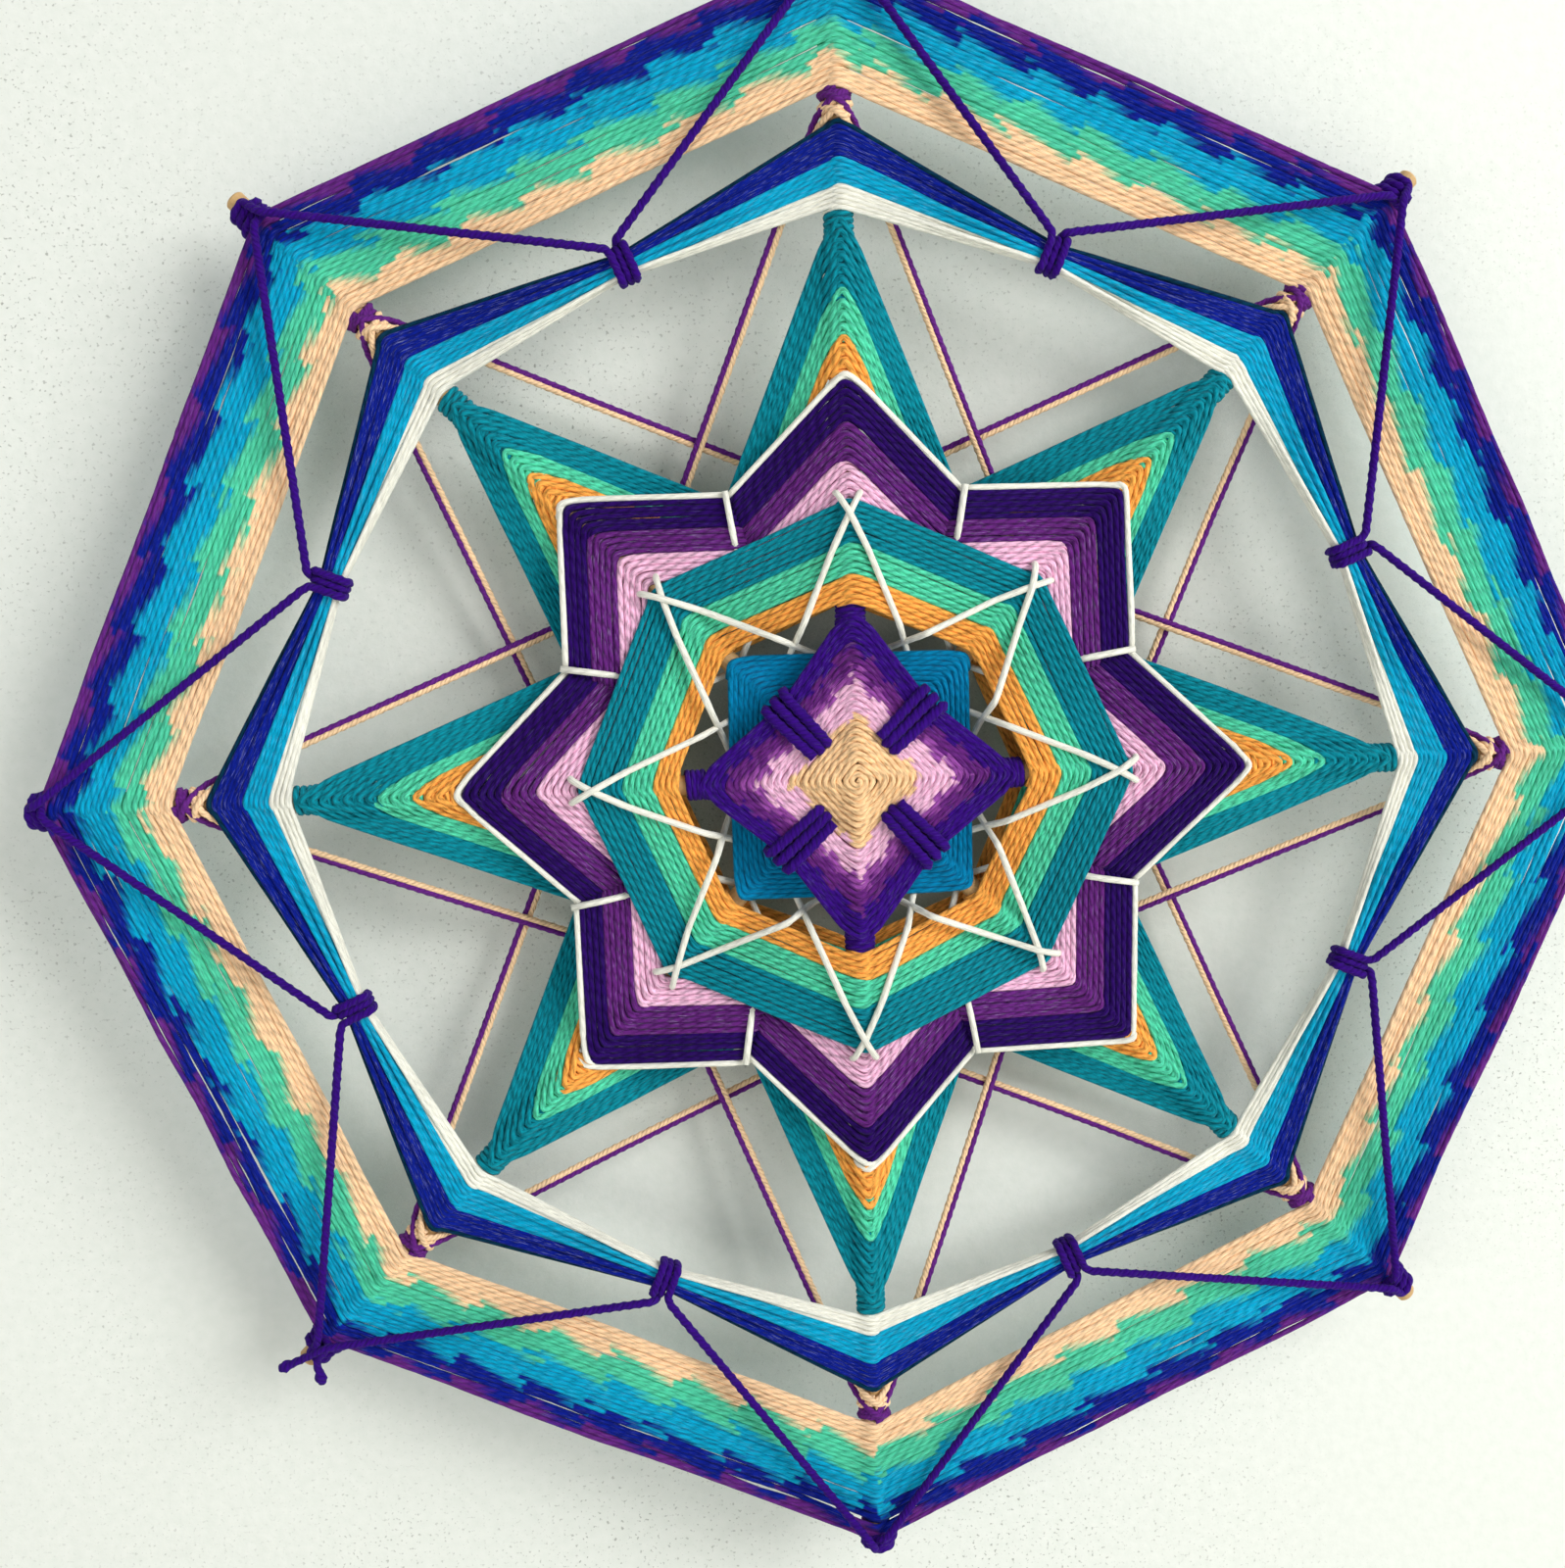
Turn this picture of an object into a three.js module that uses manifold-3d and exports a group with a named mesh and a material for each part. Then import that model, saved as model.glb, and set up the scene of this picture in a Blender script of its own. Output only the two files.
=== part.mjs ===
// Ojo de dios: an eight-armed yarn mandala wound on four wooden dowels.
// Millimetres, +Z up, the front towards -Y, the hub on the Y axis.
// Depth is counted towards the viewer, so a depth of d lies at y = -d before the last centring.

import * as THREE from 'three';
import { mergeVertices } from 'three/addons/utils/BufferGeometryUtils.js';
import Module from 'manifold-3d';

const wasm = await Module();
wasm.setup();

// Dowels: an upright cross in front and a longer, slanted cross behind, each half-lapped at the hub
const ARMS = 8;
const ARM_STEP = 360 / ARMS;
const STAR_SKIP = 3;
const DOWEL_DIAMETER = 6;
const DOWEL_CHAMFER = 0.6;
const DOWEL_SIDES = 16;
const PAIR_SPACING = 10.5;
const SLANTED_REACH = 5;
const LAP_CLEARANCE = 0.3;

// Yarn as it lies flattened in the bands, and the finer and rounder cords
const YARN_WIDTH = 1.9;
const YARN_THICKNESS = 1.3;
const SQUARE_YARN_WIDTH = 1.5;
const STAR_YARN_THICKNESS = 1.0;
const THREAD_SIZE = 1.0;
const CORD_SIZE = 1.6;
const SEAT_GAP = 0.35;
const SLOPE_LIFT = 0.2;
const END_TRIM = 1.4;

// Front eye on the upright cross: colours from the middle out
const EYE_INNER = 5.5;
const EYE_PITCH = 3.5;
const EYE_BEIGE_LOOPS = 4;
const EYE_PINK_LOOPS = 2;
const EYE_PURPLE_LOOPS = 3;
const EYE_INDIGO_LOOPS = 3;
const EYE_DOME = 3;
const EYE_SLOT = 5.2;
const BACK_EYE_LOOPS = 13;

// Lashings over the four sides of the front eye
const LASHING_TURNS = 3;
const LASHING_PITCH = 2.5;
const LASHING_SIZE = 1.5;

// Octagon ring round the eyes
const OCTAGON_GAP = 1.5;
const OCTAGON_PITCH = 2.7;
const OCTAGON_GOLD_LOOPS = 3;
const OCTAGON_MINT_LOOPS = 3;
const OCTAGON_TEAL_LOOPS = 5;

// White thread star that holds the octagon
const THREAD_STAR_INSET = 0.6;
const THREAD_STAR_HALF_WIDTH = 2.6;
const THREAD_STAR_DIVE_TURN = 0.7;
const THREAD_STAR_STEP = 2.7;

// Purple eight-pointed star: a diamond on the upright arms and a square on the slanted arms
const SQUARES_GAP = 7.5;
const SQUARES_PITCH = 6;
const SQUARES_LIFT = 0.4;
const PINK_LOOPS = 1.25;
const PLUM_LOOPS = 1.5;
const INDIGO_LOOPS = 1.25;
const OUTLINE_LOOPS = 1;
const CROSSING_RUN = 0.9;
const CROSSING_FRONT = 0.3;
const CROSSING_BACK = -2.1;

// Sharp teal star behind it
const STAR_GAP = 3.2;
const STAR_PITCH = 7.2;
const STAR_GOLD_LOOPS = 1;
const STAR_MINT_LOOPS = 1.5;
const STAR_TEAL_LOOPS = 2;
const TIP_RISE = 4.75;
const TIP_SIDE = 4.15;
const TIP_SIDE_RISE = 1.9;

// Depths of the teal star's strands behind the purple star and the arms
const STAR_INSIDE = 62;
const STAR_UPRIGHT_LEAVING = -11.2;
const STAR_UPRIGHT_ARRIVING = -15.4;
const STAR_SLANTED_DIP = -15.5;
const STAR_SLANTED_LEAVING = -13.1;
const STAR_SLANTED_ARRIVING = -16.8;

// Blue ring, drawn in at the middle of each side
const RING_GAP = 5;
const RING_PITCH = 3.5;
const RING_WHITE_LOOPS = 2;
const RING_CYAN_LOOPS = 2;
const RING_ROYAL_LOOPS = 2;
const RING_DARK_LOOPS = 1;
const RING_WAIST_STEP = 1.6;
const RING_WAIST_LAYERS = 2;
const RING_LAYER_STEP = 2.7;

// Thin two-thread star far behind, between the blue ring and the outer band
const THIN_STAR_GAP = 3;
const THIN_STAR_STEP = 4.2;
const THIN_INSIDE = 75;
const THIN_UPRIGHT_DIP = -7;
const THIN_SLANTED_DIP = -15;
const THIN_BELOW_STAR = 1.8;
const THIN_FALL = 2.6;

// Outer band
const OUTER_GAP = 2.9;
const OUTER_PITCH = 2.9;
const OUTER_PEACH_LOOPS = 3;
const OUTER_MINT_LOOPS = 3;
const OUTER_CYAN_LOOPS = 3;
const OUTER_ROYAL_LOOPS = 2;
const OUTER_PURPLE_LOOPS = 1;

// Indigo lacing from tip to tie to tip
const TIP_WRAP_SIDE = 5.1;
const TIP_WRAP_FRONT = 6.9;
const TIP_WRAP_BACK = 4.7;
const TIP_WRAP_SHOULDER = 3.4;
const TIP_WRAP_TRAVEL = 3;
const TIP_WRAP_MEET_SHARE = 0.3;
const TIP_WRAP_SHOULDER_SHARE = 0.75;
const TIP_WRAP_BACK_SHARE = 0.5;
const TIP_GAP = 5.25;
const TIP_END_MARGIN = 1.3;
const TIE_TURNS = 2;
const TIE_PITCH = 3.1;
const TAIL_LENGTH = 11;
const KNOT_ARM = 5;

// White stems from the notches of the purple star to the slanted arms
const STEM_OUTER_OVERLAP = 2.5;
const STEM_ARM_RADIUS = 47;

// Each side of a stem: its turn from the notch towards the slanted arm, its radius and its dip
const STEM_BENDS = [[0.05, 79, 0], [0.09, 66, -0.4], [0.19, 54, -2]];

// Sampling of a strand's least gap to itself; nearer along the strand than the skip doesn't count
const GAP_SAMPLE = 1.0;
const GAP_CELL = 3;
const GAP_SKIP = 14;

const YARN_ROUGHNESS = 0.9;
const WOOD_ROUGHNESS = 0.6;
const WOOD = '#d7b478';
const BEIGE = '#e1b97d';
const PINK = '#cd8cc8';
const VIOLET = '#6e2d8c';
const INDIGO = '#2d0a78';
const TURQUOISE = '#0082af';
const GOLD = '#e19b41';
const MINT = '#50cda0';
const TEAL = '#008291';
const WHITE = '#f0f0e1';
const PLUM = '#5f2378';
const DEEP_INDIGO = '#1e005f';
const CYAN = '#00a0c8';
const ROYAL = '#0a1496';
const DARK_TEAL = '#002d41';
const PURPLE = '#6e2382';
const PEACH = '#f0cda5';

const UP = new THREE.Vector3(0, -1, 0);
const DOWEL_RADIUS = DOWEL_DIAMETER / 2;
const HALF_STEP = THREE.MathUtils.degToRad(ARM_STEP / 2);
const CORNERS = ARMS / 2;

// Corner radii from the hub out: each band begins a gap after the last, and the dowels end past the lacing
const beigeOuter = EYE_INNER + EYE_PITCH * EYE_BEIGE_LOOPS;
const pinkInner = beigeOuter + EYE_SLOT;
const eyeOuter = pinkInner + EYE_PITCH * (EYE_PINK_LOOPS + EYE_PURPLE_LOOPS + EYE_INDIGO_LOOPS);
const backEyeOuter = EYE_INNER + EYE_PITCH * BACK_EYE_LOOPS;
const octagonTotal = OCTAGON_GOLD_LOOPS + OCTAGON_MINT_LOOPS + OCTAGON_TEAL_LOOPS;
const octagonInner = backEyeOuter + OCTAGON_GAP;
const octagonOuter = octagonInner + OCTAGON_PITCH * octagonTotal;
const squaresTotal = PINK_LOOPS + PLUM_LOOPS + INDIGO_LOOPS + OUTLINE_LOOPS;
const diamondInner = octagonOuter + SQUARES_GAP;
const squareInner = diamondInner + SQUARES_PITCH / 2 + SQUARES_PITCH / ARMS;
const squaresOuter = squareInner + SQUARES_PITCH * squaresTotal;
const starInner = squaresOuter + STAR_GAP;
const starOuter = starInner + STAR_PITCH * (STAR_GOLD_LOOPS + STAR_MINT_LOOPS + STAR_TEAL_LOOPS);
const ringTotal = RING_WHITE_LOOPS + RING_CYAN_LOOPS + RING_ROYAL_LOOPS + RING_DARK_LOOPS;
const ringInner = starOuter + RING_GAP;
const ringOuter = ringInner + RING_PITCH * ringTotal;
const thinInner = ringOuter + THIN_STAR_GAP;
const thinOuter = thinInner + THIN_STAR_STEP;
const outerPaleTotal = OUTER_PEACH_LOOPS + OUTER_MINT_LOOPS + OUTER_CYAN_LOOPS;
const outerInner = thinOuter + OUTER_GAP;
const outerOuter = outerInner + OUTER_PITCH * (outerPaleTotal + OUTER_ROYAL_LOOPS + OUTER_PURPLE_LOOPS);
const tipEnd = (arm) => outerOuter + TIP_GAP + (isUpright(arm) ? 0 : SLANTED_REACH);
const dowelEnd = (arm) => tipEnd(arm) + TIP_END_MARGIN;

// A point at a radius, at an angle clockwise from the top as seen from the front, at a depth
function place(radius, degrees, depth) {
  const angle = THREE.MathUtils.degToRad(degrees);
  return new THREE.Vector3(radius * Math.sin(angle), -depth, radius * Math.cos(angle));
}

// A point beside an arm: along it, square to it (clockwise is positive) and in depth
function besideArm(arm, along, across, depth) {
  const angle = THREE.MathUtils.degToRad(ARM_STEP * arm);
  const x = along * Math.sin(angle) + across * Math.cos(angle);
  const z = along * Math.cos(angle) - across * Math.sin(angle);
  return new THREE.Vector3(x, -depth, z);
}

const isUpright = (arm) => (((arm % 2) + 2) % 2) === 0;
const axisDepth = (arm) => (isUpright(arm) ? PAIR_SPACING / 2 : -PAIR_SPACING / 2);
const seatRise = DOWEL_RADIUS + SEAT_GAP + YARN_THICKNESS / 2;
const frontDepth = (arm) => axisDepth(arm) + seatRise;
const backDepth = (arm) => axisDepth(arm) - seatRise;

// Straight plan line between two points: where it meets a radial line, as a share of its length
function shareAtAngle(from, to, degrees) {
  const angle = THREE.MathUtils.degToRad(degrees);
  const normal = new THREE.Vector3(Math.cos(angle), 0, -Math.sin(angle));
  const start = from.dot(normal);
  const end = to.dot(normal);
  return start / (start - end);
}

// The same for a line square to an arm at a given distance from the hub
function shareAtDistance(from, to, arm, distance) {
  const direction = place(1, ARM_STEP * arm, 0);
  const start = from.dot(direction);
  const end = to.dot(direction);
  return (start - distance) / (start - end);
}

function along(from, to, share, depth) {
  const point = from.clone().lerp(to, share);
  point.y = -depth;
  return point;
}

function trimmed(points, trim = END_TRIM) {
  const first = points[0].clone();
  const last = points[points.length - 1].clone();
  const second = points[1];
  const beforeLast = points[points.length - 2];
  first.lerp(second, trim / first.distanceTo(second));
  last.lerp(beforeLast, trim / last.distanceTo(beforeLast));
  return [first, ...points.slice(1, -1), last];
}

// Corners of one flat strand's end, from a run's direction
function flatSection(direction, width, thickness) {
  const side = new THREE.Vector3().crossVectors(UP, direction).normalize();
  const rise = new THREE.Vector3().crossVectors(direction, side);
  return [[1, 1], [-1, 1], [-1, -1], [1, -1]].map(([across, up]) => new THREE.Vector3()
    .addScaledVector(side, across * width / 2)
    .addScaledVector(rise, up * thickness / 2));
}

// Moves a corner along a run until it lies in the plane where two runs meet
function onMitre(offset, direction, normal) {
  return offset.clone().addScaledVector(direction, -offset.dot(normal) / direction.dot(normal));
}

// Rings of corners for a strand along straight runs with mitred bends.
// A flat strand keeps its face to the front; a round cord keeps its section as it turns.
function strandRings(points, width, thickness, keepsFront) {
  const runs = points.slice(1).map((point, i) => point.clone().sub(points[i]).normalize());
  let section = flatSection(runs[0], width, thickness);
  return points.map((point, i) => {
    const before = runs[Math.max(i - 1, 0)];
    const after = runs[Math.min(i, runs.length - 1)];
    const normal = before.clone().add(after).normalize();
    const arriving = section.map((corner) => onMitre(corner, before, normal));
    if (keepsFront) section = flatSection(after, width, thickness);
    else section = arriving.map((corner) => corner.clone().addScaledVector(after, -corner.dot(after)));
    const leaving = section.map((corner) => onMitre(corner, after, normal));
    return arriving.map((corner, j) => corner.add(leaving[j]).multiplyScalar(0.5).add(point));
  });
}

function strandGeometry(rings) {
  const sides = rings[0].length;
  const positions = rings.flat().flatMap((corner) => corner.toArray());
  const indices = [];
  for (let i = 0; i + 1 < rings.length; i += 1) {
    for (let j = 0; j < sides; j += 1) {
      const a = i * sides + j;
      const b = i * sides + ((j + 1) % sides);
      indices.push(a, b, a + sides, b, b + sides, a + sides);
    }
  }
  const last = (rings.length - 1) * sides;
  indices.push(0, 2, 1, 0, 3, 2, last, last + 1, last + 2, last, last + 2, last + 3);
  const geometry = new THREE.BufferGeometry();
  geometry.setAttribute('position', new THREE.Float32BufferAttribute(positions, 3));
  geometry.setIndex(indices);
  geometry.computeVertexNormals();
  return geometry;
}

// Least gap of a strand to itself, measured between points on its faces
const middle = (ring) => ring.reduce((sum, p) => sum.add(p), new THREE.Vector3()).divideScalar(ring.length);
const NEIGHBOURS = [-1, 0, 1].flatMap((x) => [-1, 0, 1].flatMap((y) => [-1, 0, 1].map((z) => [x, y, z])));
function leastGap(rings) {
  const cells = new Map();
  let travelled = 0;
  let least = GAP_CELL;
  for (let i = 0; i + 1 < rings.length; i += 1) {
    const length = middle(rings[i]).distanceTo(middle(rings[i + 1]));
    const count = Math.ceil(length / GAP_SAMPLE);
    for (let k = 0; k < count; k += 1) {
      const at = travelled + length * k / count;
      const ring = rings[i].map((p, j) => p.clone().lerp(rings[i + 1][j], k / count));
      const faces = ring.map((p, j) => p.clone().lerp(ring[(j + 1) % ring.length], 0.5));
      for (const point of [...ring, ...faces]) {
        const cell = point.toArray().map((value) => Math.floor(value / GAP_CELL));
        for (const step of NEIGHBOURS) {
          const key = cell.map((value, axis) => value + step[axis]).join(',');
          for (const other of cells.get(key) ?? []) {
            if (at - other.at > GAP_SKIP) least = Math.min(least, point.distanceTo(other.point));
          }
        }
        const own = cell.join(',');
        if (!cells.has(own)) cells.set(own, []);
        cells.get(own).push({ at, point });
      }
    }
    travelled += length;
  }
  return least;
}

const mandala = new THREE.Group();

function addMesh(name, geometry, colour, roughness) {
  const material = new THREE.MeshStandardMaterial({ color: colour, roughness, metalness: 0 });
  const mesh = new THREE.Mesh(geometry, material);
  mesh.name = name;
  mandala.add(mesh);
  return mesh;
}

function addStrand(name, points, width, thickness, colour, keepsFront = true) {
  const rings = strandRings(points, width, thickness, keepsFront);
  addMesh(name, strandGeometry(rings), colour, YARN_ROUGHNESS);
  console.log(`${name}: least gap to itself ${leastGap(rings).toFixed(2)} mm or more`);
}

// Adds the colours of a band one after another, each starting at the loop where the last one stopped
function addBand(colours, addColour) {
  let wound = 0;
  for (const [name, loops, colour] of colours) {
    addColour(name, wound, wound + loops, colour);
    wound += loops;
  }
}

// Whole numbers from the first to the last stop, for bends counted along a winding
function stops(fromLoop, toLoop, stopsPerLoop) {
  const first = Math.round(fromLoop * stopsPerLoop);
  const last = Math.round(toLoop * stopsPerLoop);
  return Array.from({ length: last - first + 1 }, (unused, i) => first + i);
}

// Solids for the joiner's cuts
function toSolid(geometry) {
  const bare = geometry.clone();
  bare.deleteAttribute('normal');
  bare.deleteAttribute('uv');
  const merged = mergeVertices(bare, 1e-4);
  return new wasm.Manifold(new wasm.Mesh({
    numProp: 3,
    vertProperties: new Float32Array(merged.attributes.position.array),
    triVerts: new Uint32Array(merged.index.array),
  }));
}

function toGeometry(solid) {
  const mesh = solid.getMesh();
  const geometry = new THREE.BufferGeometry();
  geometry.setAttribute('position', new THREE.BufferAttribute(new Float32Array(mesh.vertProperties), 3));
  geometry.setIndex(new THREE.BufferAttribute(new Uint32Array(mesh.triVerts), 1));
  return geometry;
}

// A dowel along Z with chamfered ends and half its depth taken out at the hub
function dowelGeometry(arm, keepsBackHalf) {
  const half = dowelEnd(arm);
  const end = DOWEL_RADIUS - DOWEL_CHAMFER;
  const profile = [
    [0, -half], [end, -half], [DOWEL_RADIUS, -half + DOWEL_CHAMFER],
    [DOWEL_RADIUS, half - DOWEL_CHAMFER], [end, half], [0, half],
  ].map(([radius, height]) => new THREE.Vector2(radius, height));
  const bar = new THREE.LatheGeometry(profile, DOWEL_SIDES).rotateX(Math.PI / 2);
  const lap = new THREE.BoxGeometry(
    DOWEL_DIAMETER * 2,
    DOWEL_DIAMETER,
    DOWEL_DIAMETER + 2 * LAP_CLEARANCE,
  );
  const shift = DOWEL_RADIUS - LAP_CLEARANCE / 2;
  lap.translate(0, keepsBackHalf ? -shift : shift, 0);
  return toGeometry(toSolid(bar).subtract(toSolid(lap)));
}

function addDowel(name, arm, keepsBackHalf) {
  const mesh = addMesh(name, dowelGeometry(arm, keepsBackHalf), WOOD, WOOD_ROUGHNESS);
  mesh.rotation.y = THREE.MathUtils.degToRad(ARM_STEP * arm);
  mesh.position.y = -axisDepth(arm);
}
addDowel('dowel_vertical', 0, true);
addDowel('dowel_horizontal', 2, false);
addDowel('dowel_rising', 1, true);
addDowel('dowel_falling', 3, false);

// Eyes: a spiral with a corner on every second arm
function eyePath(inner, fromLoop, toLoop, firstArm, dome) {
  return trimmed(stops(fromLoop, toLoop, CORNERS).map((i) => {
    const radius = inner + EYE_PITCH * i / CORNERS;
    const crown = dome * Math.max(0, 1 - (radius / beigeOuter) ** 2);
    return place(radius, ARM_STEP * (firstArm + 2 * i), frontDepth(firstArm) + crown);
  }));
}

const addYarn = (name, points, colour) => addStrand(name, points, YARN_WIDTH, YARN_THICKNESS, colour);
addYarn('front_eye_beige', eyePath(EYE_INNER, 0, EYE_BEIGE_LOOPS, 0, EYE_DOME), BEIGE);
addBand([
  ['front_eye_pink', EYE_PINK_LOOPS, PINK],
  ['front_eye_purple', EYE_PURPLE_LOOPS, VIOLET],
  ['front_eye_indigo', EYE_INDIGO_LOOPS, INDIGO],
], (name, from, to, colour) => addYarn(name, eyePath(pinkInner, from, to, 0, 0), colour));
addYarn('back_eye_turquoise', eyePath(EYE_INNER, 0, BACK_EYE_LOOPS, 1, 0), TURQUOISE);

// Lashings: cord wound round a side of the front eye, in at the slot outside the beige middle
function lashingPath(arm) {
  const flatter = Math.cos(THREE.MathUtils.degToRad(ARM_STEP));
  const inside = (beigeOuter + pinkInner) / 2 * flatter;
  const outside = eyeOuter * flatter + YARN_WIDTH / 2 + SEAT_GAP + LASHING_SIZE;
  const middle = frontDepth(0);
  const rise = YARN_THICKNESS / 2 + SEAT_GAP + LASHING_SIZE / 2 + SLOPE_LIFT;
  const turn = [[inside, rise], [outside, rise], [outside, -rise], [inside, -rise]];
  const points = [];
  const count = LASHING_TURNS * turn.length;
  for (let i = 0; i < count; i += 1) {
    const [radius, up] = turn[i % turn.length];
    const across = LASHING_PITCH * (i / turn.length - LASHING_TURNS / 2);
    points.push(besideArm(arm, radius, across, middle + up));
  }
  return points;
}
['right_top', 'right_bottom', 'left_bottom', 'left_top'].forEach((side, i) => {
  addStrand(`eye_lashing_${side}`, lashingPath(2 * i + 1), LASHING_SIZE, LASHING_SIZE, INDIGO, false);
});

// Rings: a spiral with a bend over the front of every arm
const ringDepth = (arm) => frontDepth(arm) + SLOPE_LIFT;
function ringPath(inner, pitch, fromLoop, toLoop) {
  return trimmed(stops(fromLoop, toLoop, ARMS).map((i) => (
    place(inner + pitch * i / ARMS, ARM_STEP * i, ringDepth(i))
  )));
}

addBand([
  ['octagon_gold', OCTAGON_GOLD_LOOPS, GOLD],
  ['octagon_mint', OCTAGON_MINT_LOOPS, MINT],
  ['octagon_teal', OCTAGON_TEAL_LOOPS, TEAL],
], (name, from, to, colour) => addYarn(name, ringPath(octagonInner, OCTAGON_PITCH, from, to), colour));

// White thread star over the octagon: down through the gap inside it and behind the eyes
const threadRadius = octagonOuter - THREAD_STAR_INSET;
const threadRise = YARN_THICKNESS / 2 + SEAT_GAP + THREAD_SIZE / 2 + 2 * SLOPE_LIFT;
const threadDepth = (arm) => ringDepth(arm) + threadRise;
const sideDepth = (ringDepth(0) + ringDepth(1)) / 2;
function threadStarPath() {
  const meeting = (threadRadius + THREAD_STAR_HALF_WIDTH / Math.tan(HALF_STEP)) / 2;
  const besideBackEye = backEyeOuter * Math.cos(2 * HALF_STEP) + YARN_WIDTH / 2 + 2 * SEAT_GAP;
  const overSide = sideDepth + threadRise;
  const behindBackEye = frontDepth(1) - YARN_THICKNESS / 2 - SEAT_GAP - THREAD_SIZE;
  const behindFirst = backDepth(1) - 2 * SLOPE_LIFT;
  const behindSecond = behindFirst - THREAD_STAR_STEP;
  const points = [];
  for (let i = 0; i < ARMS; i += 1) {
    const arm = STAR_SKIP * i;
    const from = besideArm(arm, threadRadius, THREAD_STAR_HALF_WIDTH, threadDepth(arm));
    const end = arm + STAR_SKIP;
    const to = besideArm(end, threadRadius, -THREAD_STAR_HALF_WIDTH, threadDepth(end));
    const line = (share, depth) => along(from, to, share, depth);
    const near = (tip, distance) => shareAtDistance(from, to, tip, distance);
    const at = (angle) => shareAtAngle(from, to, ARM_STEP * angle);
    const over = (tip) => (isUpright(tip) ? overSide : overSide + 2 * THREAD_SIZE);
    const dive = (tip, turn) => {
      if (isUpright(tip)) return near(tip, besideBackEye);
      return at(tip + turn * THREAD_STAR_DIVE_TURN);
    };
    points.push(from);
    points.push(line(near(arm, meeting - THREAD_SIZE), over(arm)));
    points.push(line(dive(arm, 1), behindBackEye));
    points.push(line(at(arm + 1), behindFirst));
    points.push(line(at(end - 1), behindSecond));
    points.push(line(dive(end, -1), behindBackEye));
    points.push(line(near(end, meeting - THREAD_SIZE), over(end)));
    points.push(to);
  }
  return points;
}
addStrand('octagon_white_star', threadStarPath(), THREAD_SIZE, THREAD_SIZE, WHITE);

// Diamond and square: each strand shows at its own arm and dips behind the next one
function squarePath(inner, fromLoop, toLoop, firstArm) {
  const corner = (i) => place(
    inner + SQUARES_PITCH * i / CORNERS,
    ARM_STEP * (firstArm + 2 * i),
    frontDepth(firstArm) + (isUpright(firstArm) ? SQUARES_LIFT : 0),
  );
  const corners = stops(fromLoop, toLoop, CORNERS);
  const points = [corner(corners[0])];
  for (const i of corners.slice(0, -1)) {
    const from = corner(i);
    const to = corner(i + 1);
    const arm = firstArm + 2 * i;
    const run = CROSSING_RUN / from.distanceTo(to);
    const down = shareAtAngle(from, to, ARM_STEP * (arm + 0.5));
    const up = shareAtAngle(from, to, ARM_STEP * (arm + 1.5));
    points.push(along(from, to, down - run, CROSSING_FRONT));
    points.push(along(from, to, down + run, CROSSING_BACK));
    if (isUpright(arm)) {
      const under = shareAtAngle(from, to, ARM_STEP * (arm + 1));
      points.push(along(from, to, under, backDepth(arm + 1)));
    }
    points.push(along(from, to, up - run, CROSSING_BACK));
    points.push(along(from, to, up + run, CROSSING_FRONT));
    points.push(to);
  }
  return trimmed(points);
}

const squareColours = (shape) => [
  [`${shape}_pink`, PINK_LOOPS, PINK],
  [`${shape}_plum`, PLUM_LOOPS, PLUM],
  [`${shape}_indigo`, INDIGO_LOOPS, DEEP_INDIGO],
  [`${shape}_outline`, OUTLINE_LOOPS, WHITE],
];
function addSquare(shape, inner, firstArm) {
  addBand(squareColours(shape), (name, from, to, colour) => {
    const path = squarePath(inner, from, to, firstArm);
    addStrand(name, path, SQUARE_YARN_WIDTH, YARN_THICKNESS, colour);
  });
}
addSquare('diamond', diamondInner, 0);
addSquare('square', squareInner, 1);

// Stars: every strand runs from an arm to the third one on, over the tips and behind two arms
function starPath(inner, pitch, fromLoop, toLoop, dive) {
  const tip = (i) => {
    const arm = STAR_SKIP * i;
    const radius = inner + pitch * i / ARMS;
    const depth = axisDepth(arm);
    return {
      arm,
      arrive: besideArm(arm, radius, -TIP_SIDE, depth + TIP_SIDE_RISE),
      over: besideArm(arm, radius, 0, depth + TIP_RISE),
      leave: besideArm(arm, radius, TIP_SIDE, depth + TIP_SIDE_RISE),
    };
  };
  const tips = stops(fromLoop, toLoop, ARMS);
  const points = [tip(tips[0]).over];
  for (const i of tips.slice(0, -1)) {
    const from = tip(i);
    const to = tip(i + 1);
    const line = (end, distance, depth) => {
      const share = shareAtDistance(from.leave, to.arrive, end, distance);
      return along(from.leave, to.arrive, share, depth);
    };
    const start = isUpright(from.arm) ? dive.upright : dive.slanted;
    const finish = isUpright(to.arm) ? dive.upright : dive.slanted;
    points.push(from.leave);
    points.push(line(from.arm, dive.distance, start.dip));
    points.push(line(from.arm, dive.inside, start.leaving));
    points.push(line(to.arm, dive.inside, finish.arriving));
    points.push(line(to.arm, dive.distance, finish.dip));
    points.push(to.arrive, to.over);
  }
  return trimmed(points);
}

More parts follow.
